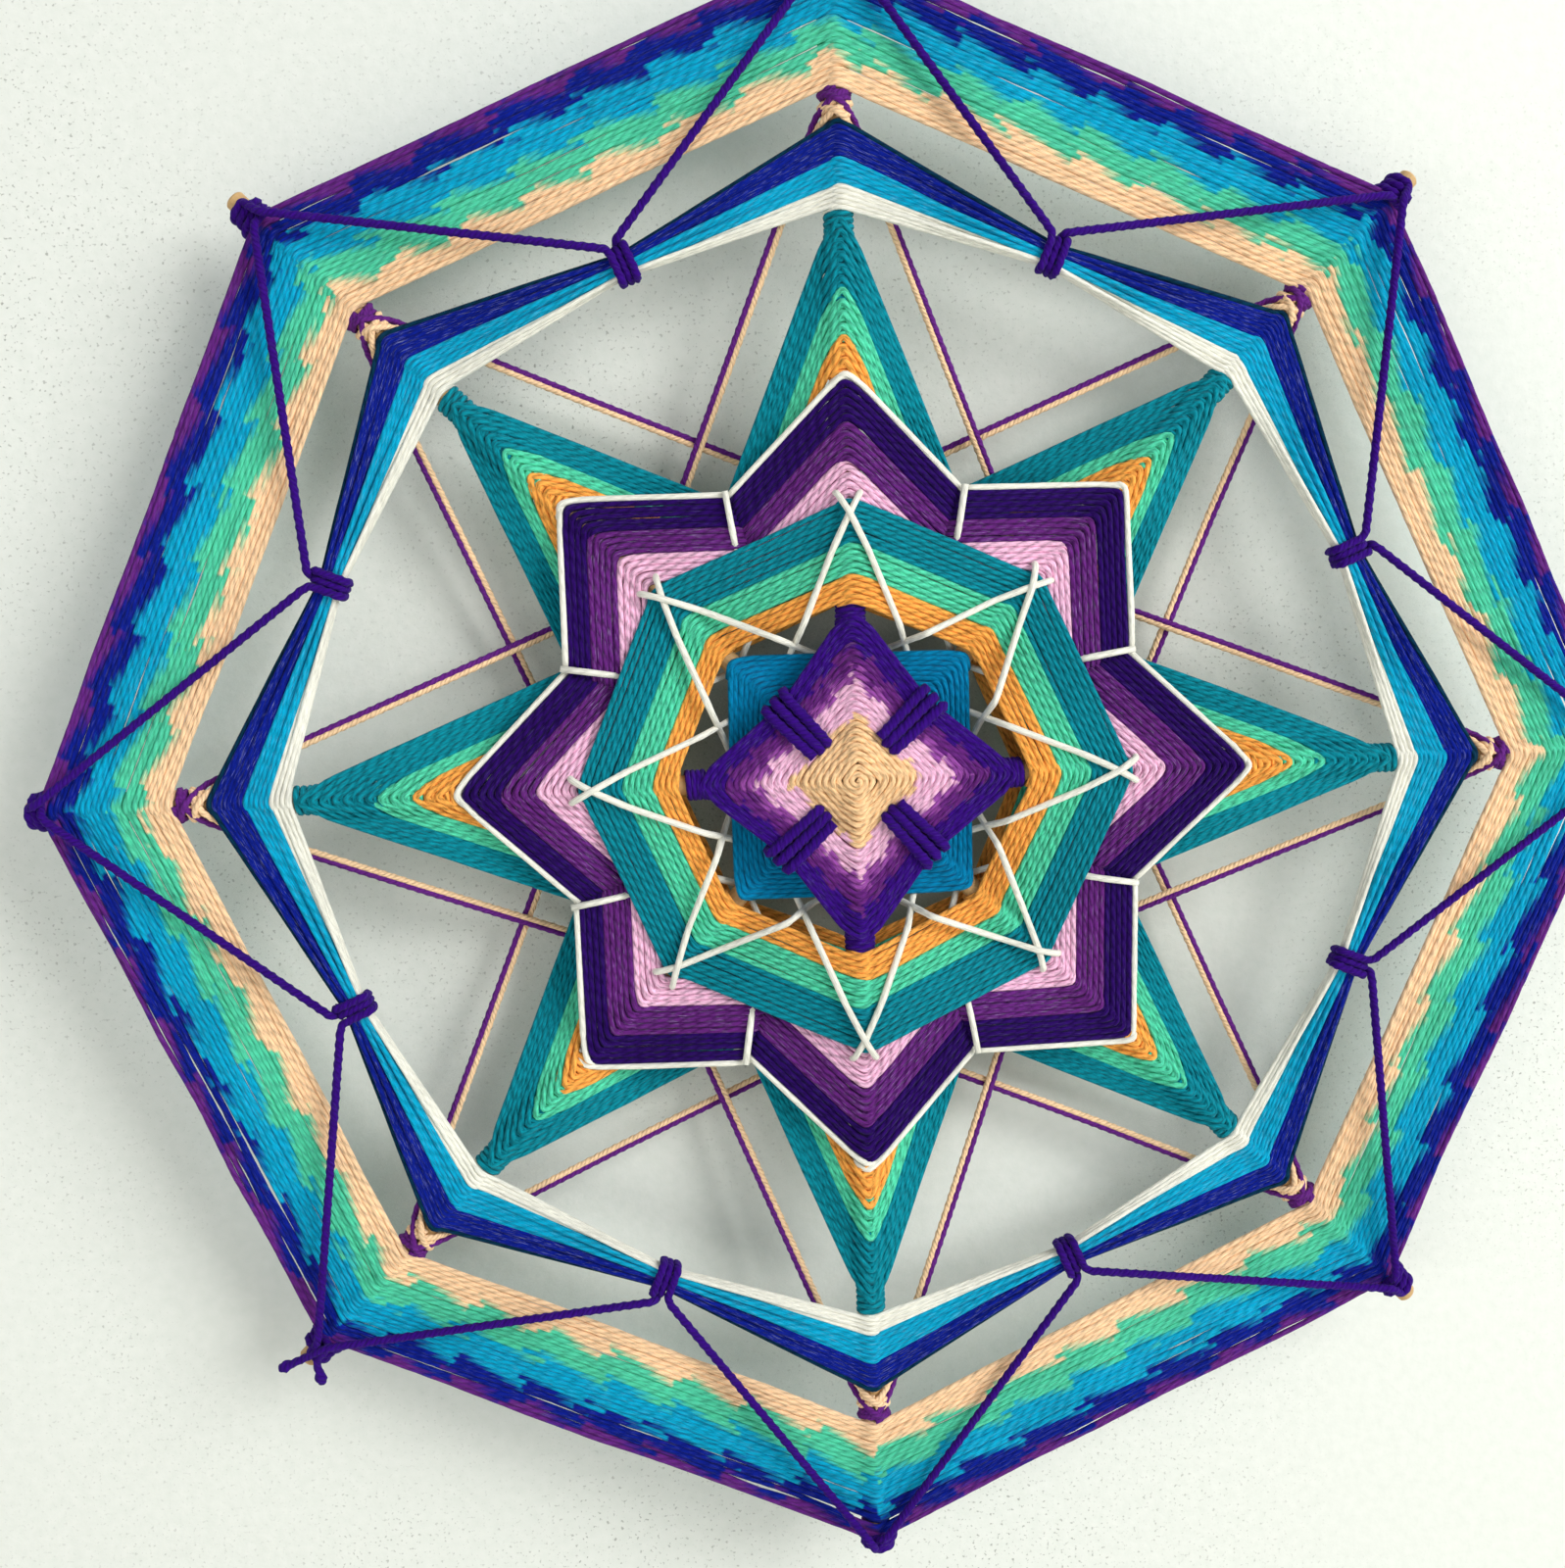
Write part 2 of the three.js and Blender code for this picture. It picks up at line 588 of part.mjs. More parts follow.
const starDive = {
  distance: squaresOuter * Math.cos(2 * HALF_STEP) + SQUARE_YARN_WIDTH,
  inside: STAR_INSIDE,
  upright: {
    dip: CROSSING_BACK - YARN_THICKNESS - SEAT_GAP,
    leaving: STAR_UPRIGHT_LEAVING,
    arriving: STAR_UPRIGHT_ARRIVING,
  },
  slanted: {
    dip: STAR_SLANTED_DIP,
    leaving: STAR_SLANTED_LEAVING,
    arriving: STAR_SLANTED_ARRIVING,
  },
};
addBand([
  ['star_gold', STAR_GOLD_LOOPS, GOLD],
  ['star_mint', STAR_MINT_LOOPS, MINT],
  ['star_teal', STAR_TEAL_LOOPS, TEAL],
], (name, from, to, colour) => {
  const path = starPath(starInner, STAR_PITCH, from, to, starDive);
  addStrand(name, path, YARN_WIDTH, STAR_YARN_THICKNESS, colour);
});

// Blue ring: over every arm, and drawn into a narrow two-layer waist at the middle of each side
const waistRadius = Math.cos(HALF_STEP) * (ringInner + ringOuter) / 2;
function waistedRingPath(fromLoop, toLoop) {
  return trimmed(stops(fromLoop, toLoop, 2 * ARMS).map((i) => {
    const loop = i / (2 * ARMS);
    if (i % 2 === 0) return place(ringInner + RING_PITCH * loop, ARM_STEP * i / 2, ringDepth(i / 2));
    const layer = Math.floor(loop) % RING_WAIST_LAYERS - (RING_WAIST_LAYERS - 1) / 2;
    const radius = waistRadius + RING_WAIST_STEP * (loop - ringTotal / 2);
    return place(radius, ARM_STEP * i / 2, sideDepth + RING_LAYER_STEP * layer);
  }));
}
addBand([
  ['ring_white', RING_WHITE_LOOPS, WHITE],
  ['ring_cyan', RING_CYAN_LOOPS, CYAN],
  ['ring_royal', RING_ROYAL_LOOPS, ROYAL],
  ['ring_dark', RING_DARK_LOOPS, DARK_TEAL],
], (name, from, to, colour) => addYarn(name, waistedRingPath(from, to), colour));

// Thin star of two threads side by side, behind everything
const thinDepth = STAR_SLANTED_ARRIVING - THIN_BELOW_STAR;
const thinDive = {
  distance: starInner + STAR_PITCH,
  inside: THIN_INSIDE,
  upright: { dip: THIN_UPRIGHT_DIP, leaving: thinDepth, arriving: thinDepth - THIN_FALL },
  slanted: { dip: THIN_SLANTED_DIP, leaving: thinDepth, arriving: thinDepth - THIN_FALL },
};
for (const [name, radius, colour] of [
  ['back_star_peach', thinInner, PEACH],
  ['back_star_purple', thinOuter, PURPLE],
]) {
  addStrand(name, starPath(radius, 0, 0, 1, thinDive), THREAD_SIZE, THREAD_SIZE, colour);
}

// Outer band
addBand([
  ['outer_peach', OUTER_PEACH_LOOPS, PEACH],
  ['outer_mint', OUTER_MINT_LOOPS, MINT],
  ['outer_cyan', OUTER_CYAN_LOOPS, CYAN],
  ['outer_royal', OUTER_ROYAL_LOOPS, ROYAL],
  ['outer_purple', OUTER_PURPLE_LOOPS, PURPLE],
], (name, from, to, colour) => addYarn(name, ringPath(outerInner, OUTER_PITCH, from, to), colour));

// Indigo lacing: round each dowel tip, over the outer band, twice round the ring's waist, and on
function tipWrap(arm) {
  const turn = [
    [-TIP_WRAP_MEET_SHARE, TIP_WRAP_FRONT],
    [TIP_WRAP_SHOULDER_SHARE, TIP_WRAP_SHOULDER],
    [1, 0],
    [TIP_WRAP_BACK_SHARE, -TIP_WRAP_BACK],
    [-TIP_WRAP_BACK_SHARE, -TIP_WRAP_BACK],
    [-1, 0],
    [-TIP_WRAP_SHOULDER_SHARE, TIP_WRAP_SHOULDER],
    [TIP_WRAP_MEET_SHARE, TIP_WRAP_FRONT],
  ];
  return turn.map(([across, rise], i) => {
    const travel = TIP_WRAP_TRAVEL * (i / (turn.length - 1) - 1);
    return besideArm(arm, tipEnd(arm) + travel, across * TIP_WRAP_SIDE, axisDepth(arm) + rise);
  });
}

function waistTie(arm) {
  const clear = SEAT_GAP + SLOPE_LIFT + CORD_SIZE / 2;
  const half = RING_WAIST_STEP * ringTotal / 2 + YARN_WIDTH / 2 + clear;
  const rise = RING_LAYER_STEP * (RING_WAIST_LAYERS - 1) / 2 + YARN_THICKNESS / 2 + clear + SLOPE_LIFT;
  const turn = [[half, rise], [-half, rise], [-half, -rise], [half, -rise]];
  return stops(0, TIE_TURNS, turn.length).map((i) => {
    const [out, up] = turn[i % turn.length];
    const across = TIE_PITCH * (i / turn.length - TIE_TURNS / 2);
    return besideArm(arm + 0.5, waistRadius + out, across, sideDepth + up);
  });
}

function lacingPath() {
  const tailDepth = axisDepth(KNOT_ARM) + TIP_WRAP_FRONT + CORD_SIZE / 2;
  const tailRadius = tipEnd(KNOT_ARM) - TIP_WRAP_TRAVEL;
  const tail = (radius, across) => besideArm(KNOT_ARM, radius, across, tailDepth);
  const points = [tail(tailRadius, -TAIL_LENGTH)];
  for (let arm = KNOT_ARM; arm < KNOT_ARM + ARMS; arm += 1) {
    points.push(...tipWrap(arm));
    points.push(...waistTie(arm));
  }
  points.push(tail(tailRadius - TAIL_LENGTH / 2, -TAIL_LENGTH));
  return points;
}
addStrand('indigo_lacing', lacingPath(), CORD_SIZE, CORD_SIZE, INDIGO, false);

// White stems: from a notch of the purple star under the octagon, round a slanted arm, to the next notch
const outlineRadius = (diamondInner + squaresOuter - SQUARES_PITCH / 2) / 2;
const notchRadius = outlineRadius * Math.cos(2 * HALF_STEP) / Math.cos(HALF_STEP);
const stemDepth = CROSSING_FRONT + YARN_THICKNESS / 2 + SEAT_GAP + THREAD_SIZE / 2;
function stemPath(arm) {
  const side = [[0, notchRadius + STEM_OUTER_OVERLAP, 0], ...STEM_BENDS];
  const half = (turn) => side.map(([towards, radius, dip]) => (
    place(radius, ARM_STEP * (arm + turn * (0.5 - towards)), stemDepth + dip)
  ));
  const behind = place(STEM_ARM_RADIUS, ARM_STEP * arm, backDepth(arm) - THREAD_SIZE);
  return [...half(-1), behind, ...half(1).reverse()];
}
['right_top', 'right_bottom', 'left_bottom', 'left_top'].forEach((side, i) => {
  addStrand(`notch_stem_${side}`, stemPath(2 * i + 1), THREAD_SIZE, THREAD_SIZE, WHITE);
});

// The origin is the middle of the object's depth
const box = new THREE.Box3().setFromObject(mandala);
mandala.position.y = -(box.min.y + box.max.y) / 2;

export default mandala;
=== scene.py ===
import math

import bpy
import numpy as np
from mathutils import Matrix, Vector


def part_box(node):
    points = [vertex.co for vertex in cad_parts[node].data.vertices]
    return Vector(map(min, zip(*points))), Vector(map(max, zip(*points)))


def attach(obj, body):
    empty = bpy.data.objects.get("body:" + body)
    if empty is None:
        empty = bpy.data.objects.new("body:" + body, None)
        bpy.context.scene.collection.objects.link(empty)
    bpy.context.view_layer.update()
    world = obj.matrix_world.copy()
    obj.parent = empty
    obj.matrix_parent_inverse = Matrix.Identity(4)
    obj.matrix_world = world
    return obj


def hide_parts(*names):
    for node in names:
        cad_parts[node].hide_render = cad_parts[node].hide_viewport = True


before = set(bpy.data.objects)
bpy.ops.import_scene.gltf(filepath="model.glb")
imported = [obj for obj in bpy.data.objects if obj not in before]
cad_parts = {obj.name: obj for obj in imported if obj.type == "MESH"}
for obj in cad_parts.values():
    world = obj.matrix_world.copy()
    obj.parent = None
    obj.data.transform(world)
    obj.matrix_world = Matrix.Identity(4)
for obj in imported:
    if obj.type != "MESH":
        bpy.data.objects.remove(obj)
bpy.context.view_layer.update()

# All measures below are millimetres; a mesh turns them into metres when it is made.
# Arms are numbered clockwise from the top as seen from the front; even ones are the upright cross.
MM = 0.001
ARMS = 8
ARM_TURN = 2 * math.pi / ARMS
STAR_SKIP = 3


def node_middle_y(node):
    low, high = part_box(node)
    return (low.y + high.y) / (2 * MM)


STICK_LOW, STICK_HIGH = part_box("dowel_vertical")
STICK_RADIUS = (STICK_HIGH.x - STICK_LOW.x) / (2 * MM)
ARM_LENGTH = STICK_HIGH.z / MM
SLANTED_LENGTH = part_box("dowel_rising")[1].z / MM * math.sqrt(2) - STICK_RADIUS
UPRIGHT_Y = node_middle_y("dowel_vertical")
SLANTED_Y = node_middle_y("dowel_rising")
HUB_Y = (UPRIGHT_Y + SLANTED_Y) / 2

# Yarn and cord thicknesses, as radii
YARN = 0.93
OCTAGON_YARN = 0.86
FINE_YARN = 0.78
WHITE_RING_YARN = 0.92 * FINE_YARN
LOOSE_YARN = 0.84
THREAD = 1.0
CORD = 1.3
LASHING_YARN = 1.65

# How a strand is made: points along it, sides round it, and one twist of its plies
COIL_STOPS = 10
BEND_CUT = 1.1
LONGEST_RUN = 9.0
LONGEST_DYED_RUN = 2.4
CORD_STEP = 0.55
YARN_SIDES = 8
YARN_PLIES = 2
CORD_PLIES = 3
SIDES_PER_PLY = 3
PLY_MIDDLE = 0.93
PLY_SWELL = 0.11
TWIST = 9.0
FIRST_SIDE_GUIDE = (0.0, 1.0, 0.3)

# How far wound yarn strays, how often, and how uneven it is spun
STRAY = 0.1
EYE_STRAY = 0.14
BACK_EYE_STRAY = 0.08
RING_STRAY = 0.06
OUTER_STRAY = 0.21
OUTER_EDGE_STRAY = 0.3
SLEEVE_STRAY = 0.05
STRAY_SPACING = 24.0
UNEVENNESS = 0.04

# Corner radii where each band of colour begins and ends, the pitch of its rounds, and its sleeves
EYE_START = 0.7
EYE_BEIGE_END = 18.5
EYE_PINK_END = 30.0
EYE_LILAC_END = 33.6
EYE_PURPLE_END = 38.5
EYE_END = 50.0
EYE_PITCH = 2.1
EYE_DOME = 4.2
EYE_NARROWING = 0.96
EYE_DRAWN_IN = 4.6
EYE_TIP_SLEEVE = 6.6
EYE_SIDE_SLEEVE = 6.0
EYE_SLEEVE_PITCH = 1.6
BACK_EYE_END = 51.0
OCTAGON_START = 52.3
OCTAGON_GOLD_END = 60.4
OCTAGON_MINT_END = 69.2
OCTAGON_END = 82.0
OCTAGON_PITCH = 1.8
OCTAGON_LIFT = 1.2
SQUARES_START = 82.6
SQUARES_PINK_END = 94.4
SQUARES_PLUM_END = 106.1
SQUARES_INDIGO_END = 117.6
SQUARES_END = 119.8
SQUARES_PITCH = 2.4
STAR_START = 120.8
STAR_GOLD_END = 130.3
STAR_MINT_END = 141.6
STAR_END = 161.6
STAR_PITCH = 3.3
STAR_SLEEVE_PITCH = 1.8
STAR_SLEEVE_GIRTH = STICK_RADIUS + 0.75
STAR_SLEEVE_TOP = 163.6
RING_START = 164.0
RING_WHITE_END = 170.2
RING_CYAN_END = 178.6
RING_ROYAL_END = 187.2
RING_END = 188.7
RING_PITCH = 1.52
OUTER_START = 198.2
OUTER_PEACH_END = 207.0
OUTER_MINT_END = 216.2
OUTER_CYAN_END = 226.0
OUTER_ROYAL_END = 233.2
OUTER_END = 235.8
OUTER_PITCH = 1.5

# Slopes at which a strand meets a stick, as a fall towards the hub over the way across
RING_SLOPE = math.tan(ARM_TURN / 2)
SQUARE_SLOPE = 1.0
STAR_SLOPE = 2.1

# Depths towards the viewer, counted from the middle between the two crosses
WEAVE_FRONT = 0.9
WEAVE_BACK = -2.4
WEAVE_RUN = 1.6

# Dives behind the middle: two distances along an arm, the depth at the outer one, and at the inner one
# when leaving that arm and when arriving at it
STAR_DIVE = {
    "distance": 88.0,
    "inside": 62.0,
    "upright": (-4.2, -11.2, -15.4),
    "slanted": (-15.5, -13.1, -16.8),
}
THIN_DIVE = {
    "distance": 134.0,
    "inside": 75.0,
    "upright": (-7.0, -18.6, -21.2),
    "slanted": (-15.0, -18.6, -21.2),
}

# Thin back star: the corner radii of its two threads, and the coils that hold them to the arms
THIN_PEACH_RADIUS = 192.4
THIN_PURPLE_RADIUS = 196.0
THIN_PURPLE_COIL = (194.6, 197.4)
THIN_PEACH_COIL = (190.0, 193.4)
THIN_COIL_TURNS = 2
THIN_PITCH = 1.0

# The blue ring's waist between two arms, and the cord tied round it
RING_SIDE_DEPTH = 4.2
WAIST_RADIUS = 162.9
WAIST_COLUMN = 1.15
WAIST_LAYER = 1.35
WAIST_LAYERS = 3
WAIST_COLUMNS = math.ceil((RING_END - RING_START) / RING_PITCH / WAIST_LAYERS)
TIE_PITCH = 2.3
TIE_INSET = 0.6
TIE_SINK = 0.8

# The cord round each tip, and where it comes and goes: along the arm, across it and out from it
TIP_COVER_START = 234.5
TIP_COIL_START = 236.6
TIP_COVER_END = TIP_COIL_START - 0.6
TIP_COIL_PITCH = 2.2
TIP_COIL_MARGIN = 1.6
SLANTED_COIL_MARGIN = 3.2
TIP_FIRST_ANGLE = 0.3
TIP_ARRIVING = (233.6, -1.6, 7.6)
TIP_LEAVING = (235.2, 2.0, 8.2)
LAST_ARRIVING = (235.0, -0.5, 8.6)

# The knot's two tails: each stop is past the stick's end, across the arm and out from the coil
KNOT_ARM = 5
TAIL_LENGTH = 8.0
FIRST_TAIL = ((1.0, -TAIL_LENGTH, 0.0), (-3.5, -1.5, CORD))
LAST_TAIL = ((-0.5, 2.0, CORD), (TAIL_LENGTH - 2.0, 4.5, 0.0))
KNOT_SWELL = 0.5
KNOT_PLACE = 1.9
KNOT_WIDTH = 1.3

# Lashings over the sides of the front eye
LASHING_TURNS = 3
LASHING_PITCH = 3.7
LASHING_GATHER = 0.8
LASHING_INSIDE = 13.8
LASHING_SEAT = 0.74
LASHING_EDGE_RISE = 0.6
LASHING_DRAW_SHARE = 0.8

# White thread star: where it is seen inside the octagon, where it is hidden, and how deep it runs
THREAD_STAR_RADIUS = 83.6
THREAD_STAR_LIFT = 3.2
THREAD_STAR_SHOWN = 45.0
THREAD_STAR_HIDDEN = 37.8
THREAD_STAR_OVER_UPRIGHT = 7.0
THREAD_STAR_OVER_SLANTED = 8.6
THREAD_STAR_UNDER = -3.2
THREAD_STAR_BEHIND = (-9.6, -12.2)

# White stems: each bend is a turn from the notch, in steps between two arms, a radius and a depth
NOTCH_RADIUS = 91.7
STEM_ARM_RADIUS = 47.0
STEM_BENDS = (
    (0.0, NOTCH_RADIUS + 1.0, 2.9),
    (0.04, 82.0, 2.2),
    (0.07, 75.0, 0.2),
    (0.09, 66.0, 0.0),
    (0.19, 54.0, -1.8),
)

# Teeth of the dye: how far they reach over a band's edge, and their length along a side
EYE_TEETH = (2.1, 9.5)
OUTER_TEETH = (2.7, 22.0)
TOOTH_CHANCE = 0.14
TOOTH_SHIFT = 0.47

# Chance in how the yarn is spun, dyed and laid; it falls the same way at every run
CHANCE = np.random.default_rng(8)


def upright(arm):
    return arm % 2 == 0


def level(arm):
    return arm % 4 == 2


def axis_y(arm):
    return UPRIGHT_Y if upright(arm) else SLANTED_Y


def stick_end(arm):
    return ARM_LENGTH if upright(arm) else SLANTED_LENGTH


def beside_arm(arm, along, across, rise):
    """A point along an arm, across it (clockwise is positive) and standing out from the stick's axis."""
    turn = ARM_TURN * arm
    x = along * math.sin(turn) + across * math.cos(turn)
    z = along * math.cos(turn) - across * math.sin(turn)
    return np.array((x, axis_y(int(arm)) - rise, z))


def on_ray(radius, arm, depth):
    """A point at a radius on the ray of an arm, which may lie between two arms, at a depth."""
    turn = ARM_TURN * arm
    return np.array((radius * math.sin(turn), HUB_Y - depth, radius * math.cos(turn)))


def on_line(start, end, share, depth):
    point = start + (end - start) * share
    point[1] = HUB_Y - depth
    return point


def share_at_ray(start, end, arm):
    """How far along a line, seen from the front, it crosses the ray of an arm."""
    turn = ARM_TURN * arm
    normal = np.array((math.cos(turn), 0.0, -math.sin(turn)))
    return (start @ normal) / (start @ normal - end @ normal)


def share_at_distance(start, end, arm, distance):
    """How far along a line, seen from the front, it is at a distance from the hub along an arm."""
    turn = ARM_TURN * arm
    direction = np.array((math.sin(turn), 0.0, math.cos(turn)))
    return (start @ direction - distance) / (start @ direction - end @ direction)


# Turns of yarn: over a stick, round its back and over it again.
# Each stop is the way across, the fall towards the hub and the rise, in shares of the turn's girth.
BAND_TURN = (
    (-1.3, -1.3, 0.72),
    (0.0, -0.3, 1.03),
    (0.85, -0.9, 0.5),
    (1.0, -1.0, -0.25),
    (0.55, -1.0, -0.85),
    (-0.55, -1.0, -0.85),
    (-1.0, -1.0, -0.25),
    (-0.85, -0.9, 0.5),
    (0.0, -0.3, 1.22),
    (1.3, -1.3, 0.72),
)
STAR_TURN = (
    (-1.36, -0.85, 0.2),
    (-0.7, -0.4, 0.8),
    (0.0, 0.15, 1.03),
    (0.85, -0.38, 0.5),
    (1.0, -0.45, -0.25),
    (0.55, -0.45, -0.85),
    (-0.55, -0.45, -0.85),
    (-1.0, -0.45, -0.25),
    (-0.85, -0.38, 0.5),
    (0.0, 0.15, 1.22),
    (0.7, -0.4, 0.86),
    (1.36, -0.85, 0.2),
)
THIN_TURN = (
    (-1.26, -0.72, -0.3),
    (-0.62, -0.42, 0.75),
    (0.0, -0.2, 1.05),
    (0.85, 0.0, 0.5),
    (1.0, 0.05, -0.25),
    (0.55, 0.05, -0.85),
    (-0.55, 0.05, -0.85),
    (-1.0, 0.05, -0.25),
    (-0.85, 0.0, 0.5),
    (0.0, -0.2, 1.25),
    (0.62, -0.42, 0.8),
    (1.26, -0.72, -0.3),
)
CROSSED_TURN = (
    (-1.3, -1.95, 0.72),
    (0.0, -0.7, 1.03),
    (0.85, 0.0, 0.6),
    (1.0, 0.05, -0.25),
    (0.55, 0.05, -0.85),
    (-0.55, 0.05, -0.85),
    (-1.0, 0.05, -0.25),
    (-0.85, 0.0, 0.6),
    (0.0, -0.7, 1.25),
    (1.3, -1.95, 0.72),
)


def stick_turn(arm, radius, slope, girth, advance=0.0, lift=0.0, shape=BAND_TURN):
    """One turn of yarn round an arm; it advances outwards on the way and is lifted in front."""
    points = []
    for i, (across, fall, rise) in enumerate(shape):
        along = radius + slope * girth * fall + advance * i / len(shape)
        out = rise * girth + (lift if rise > 0 else 0.0)
        points.append(beside_arm(arm, along, across * girth, out))
    return points


def coil(arm, start, end, turns, girth, first=0.0):
    """Yarn wound round a stick from one radius to another; its first angle is counted from the front."""
    points = []
    count = turns * COIL_STOPS
    for i in range(count + 1):
        angle = first + 2 * math.pi * i / COIL_STOPS
        along = start + (end - start) * i / count
        points.append(beside_arm(arm, along, girth * math.sin(angle), girth * math.cos(angle)))
    return points


def stops(start, begin, end, pitch, corners):
    """Numbers of the corners that a spiral passes between two radii."""
    first = round((begin - start) / pitch * corners)
    last = round((end - start) / pitch * corners)
    return range(first, last + 1)


def starts_behind(points, shape=BAND_TURN):
    """Leaves out the first half of a winding's first turn, which the colour before it makes."""
    return points[len(shape) // 2:]


def ends_behind(points, shape=BAND_TURN):
    """Ends a winding behind its last stick, where the next colour takes over."""
    return points[:1 - len(shape) // 2]


# Paths of the windings
YARN_GIRTH = STICK_RADIUS + YARN
FINE_GIRTH = STICK_RADIUS + FINE_YARN
THREAD_GIRTH = STICK_RADIUS + THREAD
THIN_GIRTH = STICK_RADIUS + 1.6 * THREAD
CORD_GIRTH = STICK_RADIUS + CORD


def ring_path(start, begin, end, pitch, girth, lift=0.0):
    points = []
    for i in stops(start, begin, end, pitch, ARMS):
        radius = start + pitch * i / ARMS
        points += stick_turn(i, radius, RING_SLOPE, girth, pitch / 2, lift)
    return starts_behind(ends_behind(points))


def waisted_ring_path(begin, end):
    """The blue ring: over every arm, and gathered in a bundle at the middle of each side."""
    points = []
    for i in stops(RING_START, begin, end, RING_PITCH, ARMS):
        radius = RING_START + RING_PITCH * i / ARMS
        lap = i // ARMS
        column = lap // WAIST_LAYERS - (WAIST_COLUMNS - 1) / 2
        layer = lap % WAIST_LAYERS - (WAIST_LAYERS - 1) / 2
        waist = WAIST_RADIUS + WAIST_COLUMN * column
        slope = (radius - waist * math.cos(ARM_TURN / 2)) / (waist * math.sin(ARM_TURN / 2))
        points += stick_turn(i, radius, slope, FINE_GIRTH, RING_PITCH / 2)
        points.append(on_ray(waist, i + 0.5, RING_SIDE_DEPTH + WAIST_LAYER * layer))
    return starts_behind(ends_behind(points[:-1]))


def eye_corner(arm, radius):
    """The front eye is a little narrower on the level arms."""
    return radius * (EYE_NARROWING if level(arm) else 1.0)


def eye_path(begin, end, first_arm, dome):
    points = []
    corners = ARMS // 2
    for i in stops(EYE_START, begin, end, EYE_PITCH, corners):
        arm = first_arm + 2 * i
        radius = eye_corner(arm, EYE_START + EYE_PITCH * i / corners)
        lift = dome * max(0.0, 1 - (radius / EYE_BEIGE_END) ** 2)
        if radius < 2 * YARN_GIRTH:
            points.append(beside_arm(arm, radius, 0.0, YARN_GIRTH + lift))
        else:
            points += stick_turn(arm, radius, SQUARE_SLOPE, YARN_GIRTH, EYE_PITCH / 2, lift)
    points = ends_behind(points)
    return points if begin == EYE_START else starts_behind(points)


def square_path(begin, end, first_arm):
    """A square of the purple star: in front at its own arms, behind the other square between them."""
    points = []
    corners = ARMS // 2
    start = SQUARES_START + (0.0 if upright(first_arm) else SQUARES_PITCH / 2)
    for i in stops(SQUARES_START, begin, end, SQUARES_PITCH, corners):
        arm = first_arm + 2 * i
        radius = start + SQUARES_PITCH * i / corners
        turn = stick_turn(arm, radius, SQUARE_SLOPE, YARN_GIRTH, SQUARES_PITCH / 4)
        if points:
            points += weave_between(points[-1], turn[0], arm - 2)
        points += turn
    return starts_behind(ends_behind(points))


def weave_between(leave, arrive, arm):
    """Down behind the other square, and behind a slanted arm on the way, and up again."""
    run = WEAVE_RUN / np.linalg.norm(arrive - leave)
    down = share_at_ray(leave, arrive, arm + 0.5)
    up = share_at_ray(leave, arrive, arm + 1.5)
    bends = [(down - run, WEAVE_FRONT), (down + run, WEAVE_BACK)]
    if upright(arm):
        bends.append((share_at_ray(leave, arrive, arm + 1), HUB_Y - SLANTED_Y - YARN_GIRTH))
    bends += [(up - run, WEAVE_BACK), (up + run, WEAVE_FRONT)]
    return [on_line(leave, arrive, share, depth) for share, depth in bends]


def dive_between(leave, arrive, start_arm, end_arm, dive):
    """Behind the middle of the mandala, from one star point to the third one on."""
    first = dive["upright" if upright(start_arm) else "slanted"]
    last = dive["upright" if upright(end_arm) else "slanted"]

    def at(arm, distance, depth):
        return on_line(leave, arrive, share_at_distance(leave, arrive, arm, distance), depth)

    return [
        at(start_arm, dive["distance"], first[0]),
        at(start_arm, dive["inside"], first[1]),
        at(end_arm, dive["inside"], last[2]),
        at(end_arm, dive["distance"], last[0]),
    ]


def star_path(start, begin, end, pitch, dive, girth, shape):
    points = []
    for i in stops(start, begin, end, pitch, ARMS):
        arm = STAR_SKIP * i
        turn = stick_turn(arm, start + pitch * i / ARMS, STAR_SLOPE, girth, shape=shape)
        if points:
            points += dive_between(points[-1], turn[0], arm - STAR_SKIP, arm, dive)
        points += turn
    return starts_behind(ends_behind(points, shape), shape)


def thread_between(leave, arrive, start_arm, end_arm):
    """Down inside the octagon, behind the eyes and two arms, and up inside the octagon again."""

    def inside(arm, distance, depth):
        return on_line(leave, arrive, share_at_distance(leave, arrive, arm, distance), depth)

    def over(arm):
        depth = THREAD_STAR_OVER_UPRIGHT if upright(arm) else THREAD_STAR_OVER_SLANTED
        return inside(arm, THREAD_STAR_SHOWN, depth)

    points = [over(start_arm), inside(start_arm, THREAD_STAR_HIDDEN, THREAD_STAR_UNDER)]
    for i, depth in enumerate(THREAD_STAR_BEHIND, 1):
        points.append(on_line(leave, arrive, share_at_ray(leave, arrive, start_arm + i), depth))
    return [*points, inside(end_arm, THREAD_STAR_HIDDEN, THREAD_STAR_UNDER), over(end_arm)]


def thread_star_path():
    """White thread crossed over each corner of the octagon, down inside it and behind the eyes."""
    points = []
    for i in range(ARMS + 1):
        arm = STAR_SKIP * i
        turn = stick_turn(
            arm, THREAD_STAR_RADIUS, STAR_SLOPE, THREAD_GIRTH, lift=THREAD_STAR_LIFT, shape=CROSSED_TURN
        )
        if points:
            points += thread_between(points[-1], turn[0], arm - STAR_SKIP, arm)
        points += turn
    return starts_behind(ends_behind(points, CROSSED_TURN), CROSSED_TURN)


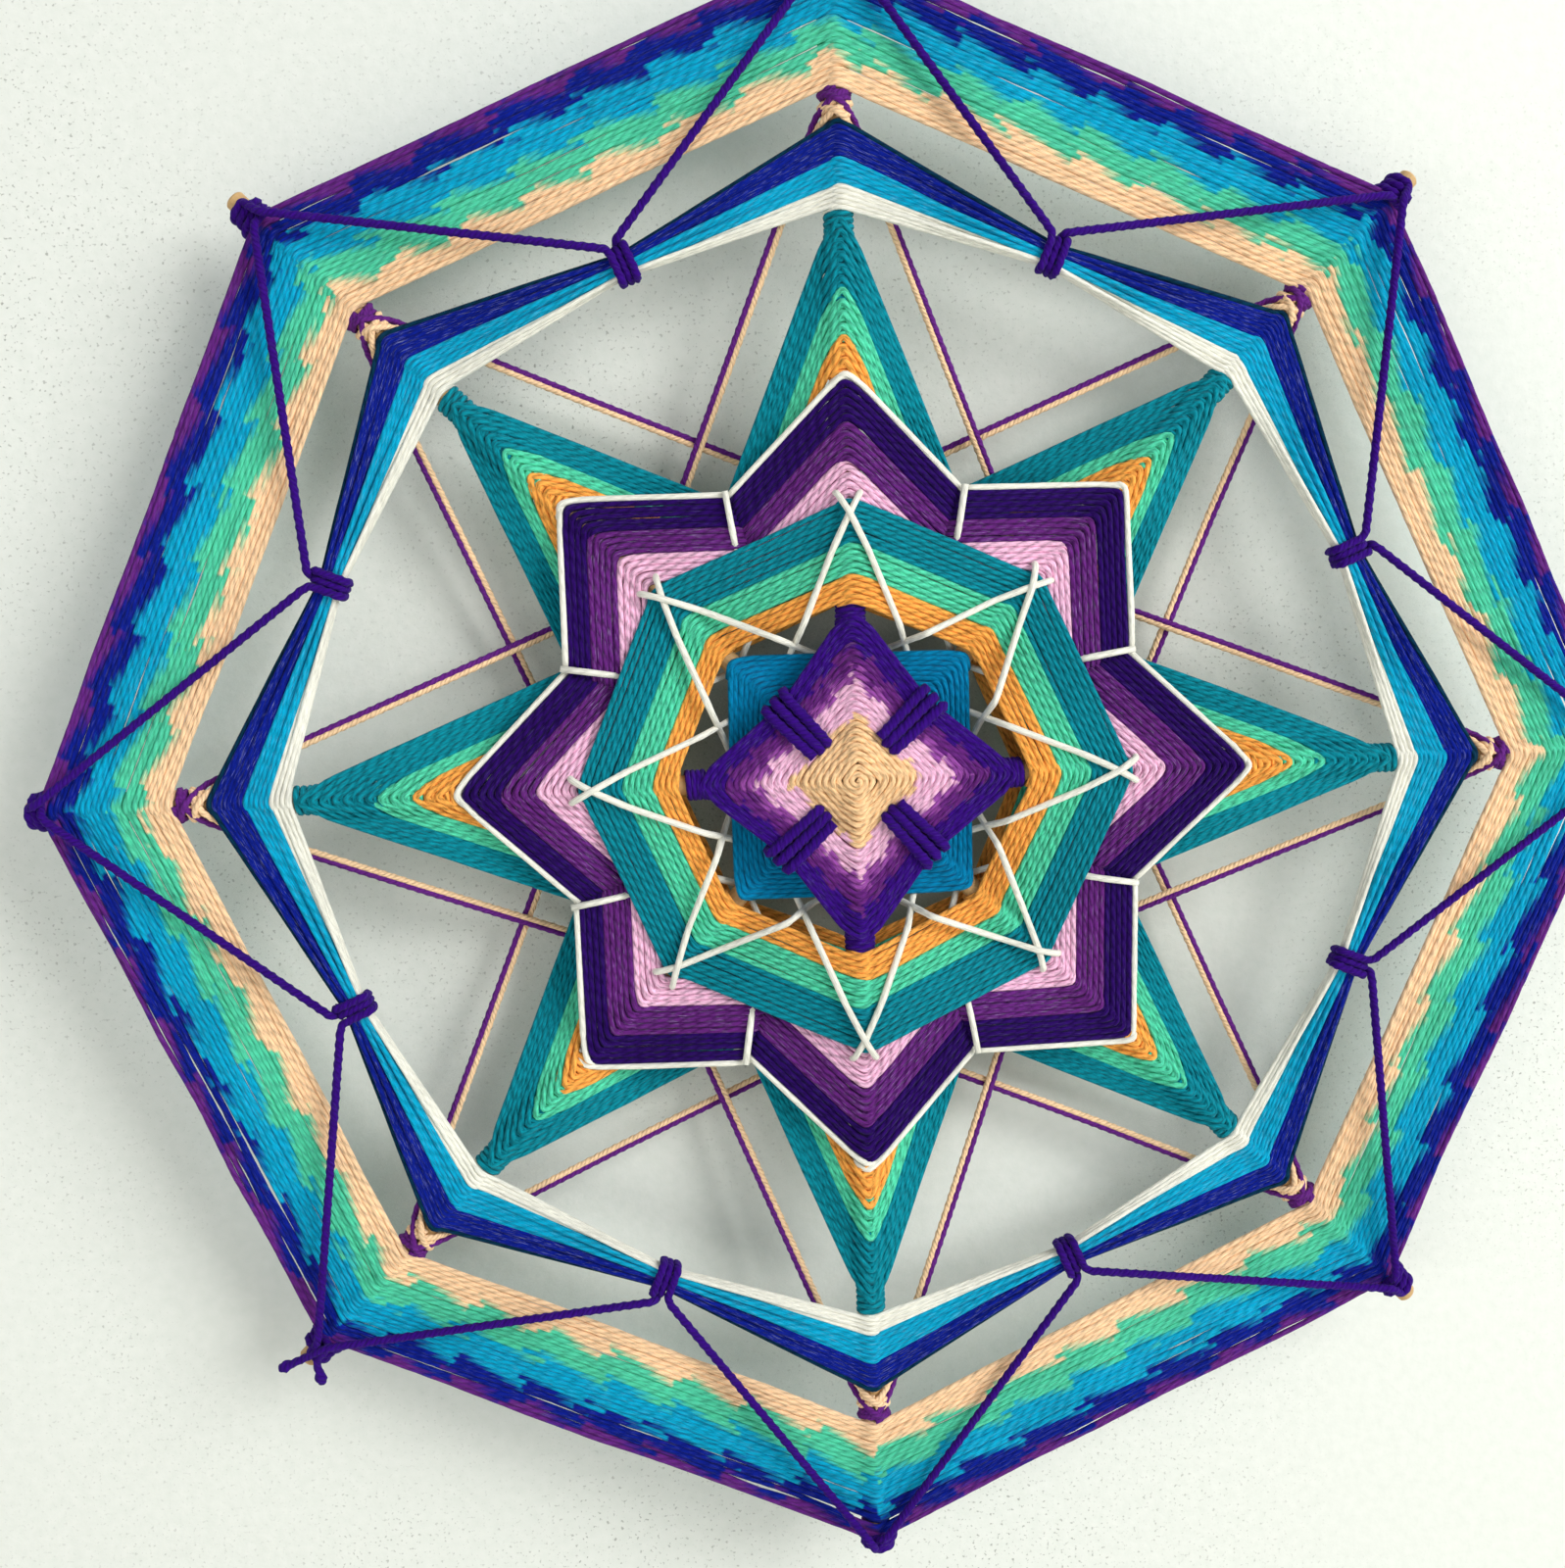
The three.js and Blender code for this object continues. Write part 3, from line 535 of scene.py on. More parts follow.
def lashing_path(arm):
    """Yarn drawn through beside the beige middle and over one side of the front eye."""
    flat = math.cos(ARM_TURN)
    outside = EYE_END * flat + LASHING_YARN - LASHING_DRAW_SHARE * EYE_DRAWN_IN
    surface = UPRIGHT_Y - LASHING_SEAT * YARN_GIRTH
    rise = YARN + LASHING_YARN
    corners = (
        (LASHING_INSIDE, rise),
        (outside, rise * LASHING_EDGE_RISE),
        (outside, -rise),
        (LASHING_INSIDE, -rise),
    )
    points = []
    for i in range(LASHING_TURNS * len(corners)):
        radius, out = corners[i % len(corners)]
        across = LASHING_PITCH * (i / len(corners) - (LASHING_TURNS - 0.5) / 2)
        if radius == LASHING_INSIDE:
            across *= LASHING_GATHER
        point = beside_arm(arm, radius, across, 0.0)
        point[1] = surface - out
        points.append(point)
    return points


def stem_path(arm):
    """White thread from a notch of the purple star, under the octagon, round a slanted arm, to the next."""
    into = [on_ray(radius, arm - 0.5 + turn, depth) for turn, radius, depth in STEM_BENDS]
    out = [on_ray(radius, arm + 0.5 - turn, depth) for turn, radius, depth in reversed(STEM_BENDS)]
    behind = on_ray(STEM_ARM_RADIUS, arm, HUB_Y - SLANTED_Y - STICK_RADIUS - 2 * THREAD)
    return [*into, behind, *out]


def tie_path(arm):
    """Cord drawn three times round the blue ring's waist between two arms, the middle turn lowest."""
    half = (WAIST_COLUMNS - 1) / 2 * WAIST_COLUMN + FINE_YARN + CORD
    rise = (WAIST_LAYERS - 1) / 2 * WAIST_LAYER + FINE_YARN + CORD
    corners = (
        (half, rise, -1.0),
        (-half, rise, -1.0),
        (-half, -rise, -0.8),
        (half, -rise, -0.2),
        (half - TIE_INSET, rise - TIE_SINK, 0.0),
        (TIE_INSET - half, rise - TIE_SINK, 0.0),
        (-half, -rise, 0.2),
        (half, -rise, 0.8),
        (half, rise, 1.0),
        (-half, rise, 1.0),
        (-half, -rise, 0.9),
        (half, -rise, 0.3),
        (half + CORD, rise, 0.25),
    )
    points = []
    for out, up, across in corners:
        point = beside_arm(arm + 0.5, WAIST_RADIUS + out, across * TIE_PITCH, 0.0)
        point[1] = HUB_Y - RING_SIDE_DEPTH - up
        points.append(point)
    return points


def tail_path(tail):
    knot = stick_end(KNOT_ARM)
    return [beside_arm(KNOT_ARM, knot + past, across, CORD_GIRTH + out) for past, across, out in tail]


def lacing_path():
    """One indigo cord: round each tip, over the outer band to the ring's waist, and on to the next tip."""
    points = tail_path(FIRST_TAIL)
    for arm in range(KNOT_ARM, KNOT_ARM + ARMS):
        end = stick_end(arm) - (TIP_COIL_MARGIN if upright(arm) else SLANTED_COIL_MARGIN)
        turns = max(2, round((end - TIP_COIL_START) / TIP_COIL_PITCH))
        cover_girth = CORD_GIRTH + FINE_YARN
        points.append(beside_arm(arm, *TIP_ARRIVING))
        points += coil(arm, TIP_COVER_START, TIP_COVER_END, 1, cover_girth, TIP_FIRST_ANGLE)[:-1]
        points += coil(arm, TIP_COIL_START, end, turns, CORD_GIRTH, TIP_FIRST_ANGLE)
        points.append(beside_arm(arm, *TIP_LEAVING))
        points += tie_path(arm)
    return [*points, beside_arm(KNOT_ARM, *LAST_ARRIVING), *tail_path(LAST_TAIL)]


# From a path to a strand of yarn
def rounded(points, cut, passes=2):
    """Cuts the corners of a run of points, so that the yarn bends instead of kinking."""
    points = np.asarray(points, float)
    for _ in range(passes):
        runs = np.diff(points, axis=0)
        lengths = np.linalg.norm(runs, axis=1, keepdims=True)
        share = np.minimum(0.25, cut / lengths)
        early = points[:-1] + runs * share
        late = points[1:] - runs * share
        inner = np.stack((early, late), axis=1).reshape(-1, 3)
        points = np.vstack((points[:1], inner[1:-1], points[-1:]))
    return points


def travelled(points):
    return np.concatenate(([0.0], np.cumsum(np.linalg.norm(np.diff(points, axis=0), axis=1))))


def divided(points, longest):
    """Adds points so that no run between two of them is longer than the longest."""
    lengths = np.linalg.norm(np.diff(points, axis=0), axis=1)
    counts = np.maximum(1, np.ceil(lengths / longest).astype(int))
    starts = np.repeat(np.arange(len(counts)), counts)
    order = np.arange(len(starts)) - np.repeat(np.cumsum(counts) - counts, counts)
    share = (order / np.repeat(counts, counts))[:, None]
    return np.vstack((points[starts] + (points[starts + 1] - points[starts]) * share, points[-1:]))


def wandering(points, amount):
    """Lets a strand stray a little, as wound yarn does."""
    distance = travelled(points)
    knots = np.arange(0.0, distance[-1] + 2 * STRAY_SPACING, STRAY_SPACING)
    drift = CHANCE.normal(0.0, amount, (len(knots), 3))
    strayed = [np.interp(distance, knots, drift[:, axis]) for axis in range(3)]
    return points + np.column_stack(strayed)


def cross_frames(points):
    """Two directions square to a strand at each point, carried along without twisting."""
    runs = np.diff(points, axis=0)
    runs /= np.linalg.norm(runs, axis=1, keepdims=True)
    ways = np.vstack((runs[:1], runs[:-1] + runs[1:], runs[-1:]))
    ways /= np.linalg.norm(ways, axis=1, keepdims=True)
    side = np.cross(ways[0], FIRST_SIDE_GUIDE)
    sides = []
    for way in ways:
        side = side - way * (side @ way)
        side = side / math.sqrt(side @ side)
        sides.append(side)
    sides = np.array(sides)
    return sides, np.cross(ways, sides)


def strand(points, radius, sides=YARN_SIDES, plies=0):
    """Vertices, faces and lay coordinates of one closed strand; with plies it is a twisted cord."""
    side, rise = cross_frames(points)
    length = travelled(points) / TWIST
    around = np.arange(sides) / sides
    turn = np.repeat(around[None, :], len(points), axis=0)
    reach = np.ones_like(turn) * np.reshape(radius, (-1, 1))
    if plies:
        reach *= PLY_MIDDLE + PLY_SWELL * np.cos(2 * math.pi * plies * around)[None, :]
        turn = turn - length[:, None]
    else:
        reach *= CHANCE.normal(1.0, UNEVENNESS, (len(points), 1))
    angle = 2 * math.pi * turn
    ring = points[:, None] + side[:, None] * (reach * np.cos(angle))[..., None]
    ring = ring + rise[:, None] * (reach * np.sin(angle))[..., None]
    first = np.arange(len(points) - 1)[:, None] * sides
    here = first + np.arange(sides)
    beside = first + (np.arange(sides) + 1) % sides
    quads = np.stack((here, beside, beside + sides, here + sides), axis=-1).reshape(-1, 4)
    low = np.broadcast_to(length[:-1, None], here.shape)
    high = np.broadcast_to(length[1:, None], here.shape)
    left = np.broadcast_to(around, here.shape)
    right = left + 1 / sides
    lay = np.stack((low, left, low, right, high, right, high, left), axis=-1).reshape(-1, 2)
    last = (len(points) - 1) * sides
    caps = [list(range(sides - 1, -1, -1)), list(range(last, last + sides))]
    cap_lay = np.column_stack((np.repeat(length[[0, -1]], sides), np.full(2 * sides, 0.5)))
    return ring.reshape(-1, 3), quads, caps, np.vstack((lay, cap_lay))


def sides_of(points, corners):
    """For each point, the turn of its side, the distance from the hub and the place along the side."""
    turns = 2 * math.pi * (np.arange(corners) + 0.5) / corners
    reach = points[:, :1] * np.sin(turns) + points[:, 2:] * np.cos(turns)
    turn = turns[reach.argmax(axis=1)]
    along = points[:, 0] * np.cos(turn) - points[:, 2] * np.sin(turn)
    return turn, reach.max(axis=1), along


def dye_along(points, corners, reach, length):
    """The corner radius of each point's round, moved by the dye's teeth over a band's edge."""
    turn, distance, along = sides_of(points, corners)
    walked = travelled(points)
    knots = np.arange(0.0, walked[-1] + 2 * length, length)
    chance = np.interp(walked, knots, CHANCE.normal(0.0, TOOTH_CHANCE, len(knots)))
    tooth = (along / length + TOOTH_SHIFT * turn + chance) % 1.0
    return distance / math.cos(math.pi / corners) + reach * (2 * tooth - 1)


def drawn_in(points):
    """The front eye's sides give way where the lashings pull them in."""
    turn, distance, along = sides_of(points, ARMS // 2)
    free = np.clip(distance - np.abs(along) - 2 * YARN_GIRTH, 0.0, None)
    pull = EYE_DRAWN_IN * distance * free / (EYE_END * math.cos(ARM_TURN)) ** 2
    return points - np.column_stack((pull * np.sin(turn), np.zeros(len(points)), pull * np.cos(turn)))


def yarn_piece(node, strands, material, dyes=None):
    """One piece of yarn from its strands; it rides on the frame and stands for a CAD node."""
    vertices = []
    faces = []
    lays = []
    offset = 0
    for ring, quads, caps, lay in strands:
        vertices.append(ring)
        faces += (quads + offset).tolist()
        faces += [[corner + offset for corner in cap] for cap in caps]
        lays.append(lay)
        offset += len(ring)
    mesh = bpy.data.meshes.new(f"{node}_yarn")
    mesh.from_pydata((np.vstack(vertices) * MM).tolist(), [], faces)
    mesh.uv_layers.new(name="lay").data.foreach_set("uv", np.vstack(lays).astype(np.float32).ravel())
    if dyes is not None:
        attribute = mesh.attributes.new("dye", "FLOAT", "POINT")
        attribute.data.foreach_set("value", np.concatenate(dyes).astype(np.float32))
    mesh.shade_smooth()
    mesh.materials.append(material)
    piece = bpy.data.objects.new(f"{node}_yarn", mesh)
    bpy.context.scene.collection.objects.link(piece)
    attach(piece, "root")
    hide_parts(node)


def laid(path, stray, longest=LONGEST_RUN):
    return wandering(divided(rounded(path, BEND_CUT), longest), stray)


def band_strand(path, stray=STRAY, radius=YARN):
    return strand(laid(path, stray), radius)


def cord_strand(path, radius=CORD, knotted=False):
    """A twisted cord, which ends in two small knots if it is knotted."""
    points = divided(rounded(path, BEND_CUT, 3), CORD_STEP)
    if knotted:
        walked = travelled(points)
        from_end = np.minimum(walked, walked[-1] - walked)
        radius = radius * (1 + KNOT_SWELL * np.exp(-((from_end - KNOT_PLACE) / KNOT_WIDTH) ** 2))
    return strand(points, radius, sides=SIDES_PER_PLY * CORD_PLIES, plies=CORD_PLIES)


def dyed_strand(path, corners, teeth, stray, radius, settle=None):
    """A strand of variegated yarn: its dye follows the band, with teeth that run over the edges."""
    points = laid(path, stray, LONGEST_DYED_RUN)
    dye = dye_along(points, corners, *teeth)
    points = settle(points) if settle else points
    return strand(points, radius), np.repeat(dye, YARN_SIDES)


# Values of the materials
# Fibres: how often they change along one twist, and round the strand
WOOL_SPIN = (5.0, 2.2)
FINE_SPIN = (3.2, 3.6)
HAIR_SPIN = (2.6, 4.5)
DYE_SPIN = (1.4, 2.4)

# Wool: how much of its tone comes from painted shade in the grooves between the plies, from the fibres and
# from larger patches
PAINTED_GROOVE_SHADE = 0.6
FIBRE_SHADE = 0.3
FIBRE_RELIEF_SHADE = 0.5
PATCH_SHADE = 0.4
PATCH_SCALE = 45.0
FLAT_SHADE = 0.83
RELIEF_SHADE = 0.63
WOOL_SHADE = 0.85
FLECK_TINT = (0.7, 0.75, 0.9, 1.0)
WOOL_ROUGHNESS = 0.8
FIBRE_ROUGHNESS = 0.15
FIBRE_HEIGHT = 0.35
WOOL_RELIEF = 0.32 * MM
WOOL_GLOSS = {"Specular IOR Level": 0.06, "Sheen Weight": 0.04, "Sheen Roughness": 0.5}

# Variegated yarn: room in the dye's range before and after its bands, and what moves its edges
DYE_LEAD = 20.0
DYE_RUNOUT = 5.0
DYE_CREEP = 1.6
PLY_DYE = 0.25
DYED_FLECK = 0.1

# Dowel wood
GRAIN_STRETCH = (420.0, 420.0, 26.0)
GRAIN_RELIEF = 0.2 * MM
GRAIN_ROUGHNESS = 0.2
WOOD_ROUGHNESS = 0.5


class Value:
    """A node's output; sums, differences and products of values add Math nodes."""

    def __init__(self, shader, socket):
        self.shader = shader
        self.socket = socket

    def math(self, operation, first, second=0.0):
        return self.shader.node("ShaderNodeMath", {"operation": operation}, {0: first, 1: second})

    def __add__(self, other):
        return self.math("ADD", self, other)

    def __sub__(self, other):
        return self.math("SUBTRACT", self, other)

    def __rsub__(self, other):
        return self.math("SUBTRACT", other, self)

    def __mul__(self, other):
        return self.math("MULTIPLY", self, other)

    def __truediv__(self, other):
        return self.math("DIVIDE", self, other)

    __radd__ = __add__
    __rmul__ = __mul__

    def sine(self):
        return self.math("SINE", self)

    def size(self):
        return self.math("ABSOLUTE", self)


class Shader:
    """The nodes of one material."""

    def __init__(self, name):
        self.material = bpy.data.materials.new(name)
        self.material.use_nodes = True
        self.tree = self.material.node_tree
        self.tree.nodes.clear()

    def node(self, kind, settings=None, inputs=None, output=0):
        made = self.tree.nodes.new(kind)
        for key, value in (settings or {}).items():
            if key == "stops":
                self.set_stops(made.color_ramp, value)
            else:
                setattr(made, key, value)
        for key, value in (inputs or {}).items():
            if isinstance(value, Value):
                self.tree.links.new(value.socket, made.inputs[key])
            else:
                made.inputs[key].default_value = value
        return Value(self, made.outputs[output]) if made.outputs else None

    def set_stops(self, ramp, wanted):
        while len(ramp.elements) < len(wanted):
            ramp.elements.new(0.5)
        for element, (position, colour) in zip(ramp.elements, wanted):
            element.position = position
            element.color = colour

    def mix(self, factor, first, second, blend="MIX"):
        """Two colours mixed; a Mix node's colour sockets come after those for values and vectors."""
        settings = {"data_type": "RGBA", "blend_type": blend}
        return self.node("ShaderNodeMix", settings, {0: factor, 6: first, 7: second}, 2)

    def spread(self, value, low, high, to_low=0.0, to_high=1.0):
        """A value's range stretched to another range, and held at its ends."""
        return self.node("ShaderNodeMapRange", None, {0: value, 1: low, 2: high, 3: to_low, 4: to_high})

    def lay(self):
        """Twists along a strand and the share of the way round it."""
        lay = self.node("ShaderNodeUVMap", {"uv_map": "lay"})
        return [self.node("ShaderNodeSeparateXYZ", None, {0: lay}, axis) for axis in "XY"]

    def noise(self, scale, detail):
        place = self.node("ShaderNodeTexCoord", output="Object")
        return self.node("ShaderNodeTexNoise", None, {"Vector": place, "Scale": scale, "Detail": detail})

    def fibres(self, along, across):
        """Noise drawn out along a strand, the same all the way round it."""
        length, around = self.lay()
        angle = around * (2 * math.pi)
        place = {0: length * along, 1: angle.sine() * across, 2: (angle + math.pi / 2).sine() * across}
        place = self.node("ShaderNodeCombineXYZ", None, place)
        return self.node("ShaderNodeTexNoise", None, {"Vector": place, "Scale": 1.0, "Detail": 2.0})

    def surface(self, colour, roughness, height, distance, gloss=None):
        bump = {"Height": height, "Distance": distance, "Strength": 1.0}
        normal = self.node("ShaderNodeBump", None, bump)
        inputs = {"Base Color": colour, "Roughness": roughness, "Normal": normal, **(gloss or {})}
        shader = self.node("ShaderNodeBsdfPrincipled", None, inputs)
        self.node("ShaderNodeOutputMaterial", None, {0: shader})
        return self.material


def colour(red, green, blue):
    """A colour of the palette, given as display values from 0 to 255, as linear light."""
    linear = []
    for shown in (red / 255, green / 255, blue / 255):
        linear.append(shown / 12.92 if shown <= 0.04045 else ((shown + 0.055) / 1.055) ** 2.4)
    return (*linear, 1.0)


def yarn_finish(shader, base, plies, relief, fleck, spin=WOOL_SPIN):
    """Spun wool: plies that wind round the strand, painted shade darkening the grooves between them, and
    soft fibres.
    """
    length, around = shader.lay()
    ply = ((length + around) * (math.pi * plies)).sine().size()
    fibre = shader.spread(shader.fibres(*spin), 0.3, 0.7)
    patch = shader.noise(PATCH_SCALE, 1.0)
    # Painted shade: the colour is darker in the grooves between the plies; the fibres and patches vary the
    # tone at random.
    groove_shade_and_tone = ply * (PAINTED_GROOVE_SHADE * relief) + fibre * (FIBRE_SHADE + FIBRE_RELIEF_SHADE * relief)
    groove_shade_and_tone = groove_shade_and_tone + patch * PATCH_SHADE + (FLAT_SHADE - RELIEF_SHADE * relief)
    shaded = shader.mix(1.0, base, groove_shade_and_tone * WOOL_SHADE, "MULTIPLY")
    hair = shader.spread(shader.fibres(*HAIR_SPIN), 0.6, 0.74)
    flecked = shader.mix(hair * fleck, shaded, FLECK_TINT, "SCREEN")
    roughness = fibre * FIBRE_ROUGHNESS + WOOL_ROUGHNESS
    height = ply * relief + fibre * FIBRE_HEIGHT
    return shader.surface(flecked, roughness, height, WOOL_RELIEF, WOOL_GLOSS)


def plain_yarn(name, base, fleck=0.02, relief=0.9):
    return yarn_finish(Shader(name), base, YARN_PLIES, relief, fleck)


def fine_yarn(name, base, fleck, relief):
    return yarn_finish(Shader(name), base, YARN_PLIES, relief, fleck, FINE_SPIN)


def twisted_cord(name, base):
    return yarn_finish(Shader(name), base, CORD_PLIES, relief=0.5, fleck=0.03)


def variegated_yarn(name, bands, relief, spin, blend, stray):
    """Yarn whose colour changes along its length; a band is where it ends and its colour, inside first."""
    shader = Shader(name)
    dye = shader.node("ShaderNodeAttribute", {"attribute_name": "dye"}, output="Fac")
    length, around = shader.lay()
    ply = ((length + around) * (2 * math.pi * YARN_PLIES)).sine()
    low = bands[0][0] - DYE_LEAD
    high = bands[-1][0] + DYE_RUNOUT
    ragged = (shader.fibres(*DYE_SPIN) - 0.5) * (2 * stray)
    share = (dye + ply * PLY_DYE + ragged - low) / (high - low)
    edge = blend / (high - low)
    ramp = [(0.0, bands[0][1])]
    for (end, before), (_, after) in zip(bands, bands[1:]):
        at = (end - low) / (high - low)
        ramp += [(at - edge, before), (at + edge, after)]
    base = shader.node("ShaderNodeValToRGB", {"stops": ramp}, {0: share})
    return yarn_finish(shader, base, YARN_PLIES, relief, DYED_FLECK, spin)


# Colours
INDIGO = colour(50, 8, 116)
DEEP_INDIGO = colour(38, 5, 88)
PLUM = colour(94, 34, 114)
LILAC = colour(142, 70, 152)
PINK = colour(233, 181, 208)
BEIGE = colour(240, 198, 148)
TURQUOISE = colour(0, 126, 174)
GOLD = colour(240, 164, 76)
MINT = colour(80, 200, 160)
TEAL = colour(6, 128, 144)
WHITE = colour(240, 238, 224)
CYAN = colour(4, 160, 198)
ROYAL = colour(8, 28, 134)
DARK_TEAL = colour(0, 46, 70)
EDGE_PURPLE = colour(98, 36, 124)
PEACH = colour(248, 208, 164)
WOOD_DARK = colour(176, 132, 78)
WOOD_PALE = colour(226, 190, 132)
PLASTER_DARK = colour(226, 230, 220)
PLASTER_PALE = colour(240, 241, 233)
PLASTER_PIT = colour(110, 110, 96)
FLOOR_DARK = colour(226, 225, 220)
FLOOR_PALE = colour(238, 237, 232)

# Yarns and cords
GOLD_YARN = plain_yarn("gold_yarn", GOLD)
MINT_YARN = plain_yarn("mint_yarn", MINT)
TEAL_YARN = plain_yarn("teal_yarn", TEAL)
PINK_YARN = plain_yarn("pink_yarn", PINK, 0.08)
PLUM_YARN = plain_yarn("plum_yarn", PLUM, 0.28)
DEEP_INDIGO_YARN = plain_yarn("deep_indigo_yarn", DEEP_INDIGO, 0.05)
WHITE_YARN = fine_yarn("white_yarn", WHITE, 0.02, 0.2)
CYAN_YARN = fine_yarn("cyan_yarn", CYAN, 0.2, 0.6)
ROYAL_YARN = fine_yarn("royal_yarn", ROYAL, 0.3, 0.6)
DARK_TEAL_YARN = plain_yarn("dark_teal_yarn", DARK_TEAL)
TURQUOISE_YARN = plain_yarn("turquoise_yarn", TURQUOISE, relief=0.6)
INDIGO_CORD = twisted_cord("indigo_cord", INDIGO)
PURPLE_THREAD = twisted_cord("purple_thread", EDGE_PURPLE)
PEACH_THREAD = twisted_cord("peach_thread", PEACH)
EYE_YARN = variegated_yarn("eye_yarn", (
    (EYE_BEIGE_END + DYE_CREEP, BEIGE),
    (EYE_PINK_END, PINK),
    (EYE_LILAC_END, LILAC),
    (EYE_PURPLE_END + DYE_CREEP, PLUM),
    (EYE_END, INDIGO),
), relief=0.7, spin=WOOL_SPIN, blend=0.5, stray=1.3)
OUTER_YARN = variegated_yarn("outer_yarn", (
    (OUTER_PEACH_END, PEACH),
    (OUTER_MINT_END, MINT),
    (OUTER_CYAN_END, CYAN),
    (OUTER_ROYAL_END, ROYAL),
    (OUTER_END, EDGE_PURPLE),
), relief=0.6, spin=FINE_SPIN, blend=1.1, stray=1.0)


def wood_finish(name, arm):
    """Bare dowel wood with its grain along the stick."""
    shader = Shader(name)
    place = shader.node("ShaderNodeTexCoord", output="Object")
    turned = {"Vector": place, "Rotation": (0.0, -ARM_TURN * arm, 0.0), "Scale": GRAIN_STRETCH}
    along = shader.node("ShaderNodeMapping", None, turned)
    grain = shader.node("ShaderNodeTexNoise", None, {"Vector": along, "Scale": 1.0, "Detail": 4.0})
    tone = shader.mix(grain, WOOD_DARK, WOOD_PALE)
    return shader.surface(tone, grain * GRAIN_ROUGHNESS + WOOD_ROUGHNESS, grain, GRAIN_RELIEF)


# Pieces
QUARTERS = ("right_top", "right_bottom", "left_bottom", "left_top")


def make_sticks():
    for arm, node in enumerate(("dowel_vertical", "dowel_rising", "dowel_horizontal", "dowel_falling")):
        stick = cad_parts[node]
        stick.data.materials.clear()
        stick.data.materials.append(wood_finish(f"{node}_wood", arm))


def eye_sleeve(arm):
    """Indigo yarn wound round an arm beyond the front eye, with its dye."""
    low = eye_corner(arm, EYE_END) - YARN_GIRTH
    length = EYE_SIDE_SLEEVE if level(arm) else EYE_TIP_SLEEVE
    turns = round(length / EYE_SLEEVE_PITCH)
    points = laid(coil(arm, low, low + length, turns, YARN_GIRTH, math.pi), SLEEVE_STRAY)
    return strand(points, YARN), np.full(len(points) * YARN_SIDES, EYE_END)


def make_eyes():
    bands = (
        ("front_eye_beige", "yarn_beige", EYE_START, EYE_BEIGE_END),
        ("front_eye_pink", "yarn_pink", EYE_BEIGE_END, EYE_PINK_END),
        ("front_eye_purple", "yarn_violet", EYE_PINK_END, EYE_PURPLE_END),
        ("front_eye_indigo", "yarn_indigo", EYE_PURPLE_END, EYE_END),
    )
    for node, slot, begin, end in bands:
        path = eye_path(begin, end, 0, EYE_DOME)
        wound = [dyed_strand(path, ARMS // 2, EYE_TEETH, EYE_STRAY, YARN, drawn_in)]
        if end == EYE_END:
            wound += [eye_sleeve(arm) for arm in range(0, ARMS, 2)]
        strands, dyes = zip(*wound)
        yarn_piece(node, strands, EYE_YARN, dyes)
    back = band_strand(eye_path(EYE_START, BACK_EYE_END, 1, 0.0), BACK_EYE_STRAY)
    yarn_piece("back_eye_turquoise", [back], TURQUOISE_YARN)
    for i, side in enumerate(QUARTERS):
        lashing = cord_strand(lashing_path(2 * i + 1), LASHING_YARN)
        yarn_piece(f"eye_lashing_{side}", [lashing], INDIGO_CORD)


def make_octagon():
    bands = (
        ("octagon_gold", "yarn_gold", GOLD_YARN, OCTAGON_START, OCTAGON_GOLD_END),
        ("octagon_mint", "yarn_mint", MINT_YARN, OCTAGON_GOLD_END, OCTAGON_MINT_END),
        ("octagon_teal", "yarn_teal", TEAL_YARN, OCTAGON_MINT_END, OCTAGON_END),
    )
    for node, slot, material, begin, end in bands:
        path = ring_path(OCTAGON_START, begin, end, OCTAGON_PITCH, YARN_GIRTH, OCTAGON_LIFT)
        yarn_piece(node, [band_strand(path, radius=OCTAGON_YARN)], material)
    thread = band_strand(thread_star_path(), 0.0, THREAD)
    yarn_piece("octagon_white_star", [thread], WHITE_YARN)
    for i, side in enumerate(QUARTERS):
        stem = band_strand(stem_path(2 * i + 1), 0.0, THREAD)
        yarn_piece(f"notch_stem_{side}", [stem], WHITE_YARN)


def make_purple_star():
    bands = (
        ("pink", "yarn_pink", PINK_YARN, SQUARES_START, SQUARES_PINK_END),
        ("plum", "yarn_plum", PLUM_YARN, SQUARES_PINK_END, SQUARES_PLUM_END),
        ("indigo", "yarn_deep_indigo", DEEP_INDIGO_YARN, SQUARES_PLUM_END, SQUARES_INDIGO_END),
        ("outline", "yarn_white", WHITE_YARN, SQUARES_INDIGO_END, SQUARES_END),
    )
    for shape, first_arm in (("diamond", 0), ("square", 1)):
        for tone, slot, material, begin, end in bands:
            wound = band_strand(square_path(begin, end, first_arm))
            yarn_piece(f"{shape}_{tone}", [wound], material)


def make_teal_star():
    bands = (
        ("star_gold", "yarn_gold", GOLD_YARN, STAR_START, STAR_GOLD_END),
        ("star_mint", "yarn_mint", MINT_YARN, STAR_GOLD_END, STAR_MINT_END),
        ("star_teal", "yarn_teal", TEAL_YARN, STAR_MINT_END, STAR_END),
    )
    for node, slot, material, begin, end in bands:
        path = star_path(STAR_START, begin, end, STAR_PITCH, STAR_DIVE, YARN_GIRTH, STAR_TURN)
        strands = [band_strand(path)]
        low = begin - YARN_GIRTH
        high = STAR_SLEEVE_TOP if end == STAR_END else end - YARN_GIRTH
        turns = round((high - low) / STAR_SLEEVE_PITCH)
        for arm in range(ARMS):
            sleeve = coil(arm, low, high, turns, STAR_SLEEVE_GIRTH, math.pi)
            strands.append(band_strand(sleeve, SLEEVE_STRAY))
        yarn_piece(node, strands, material)


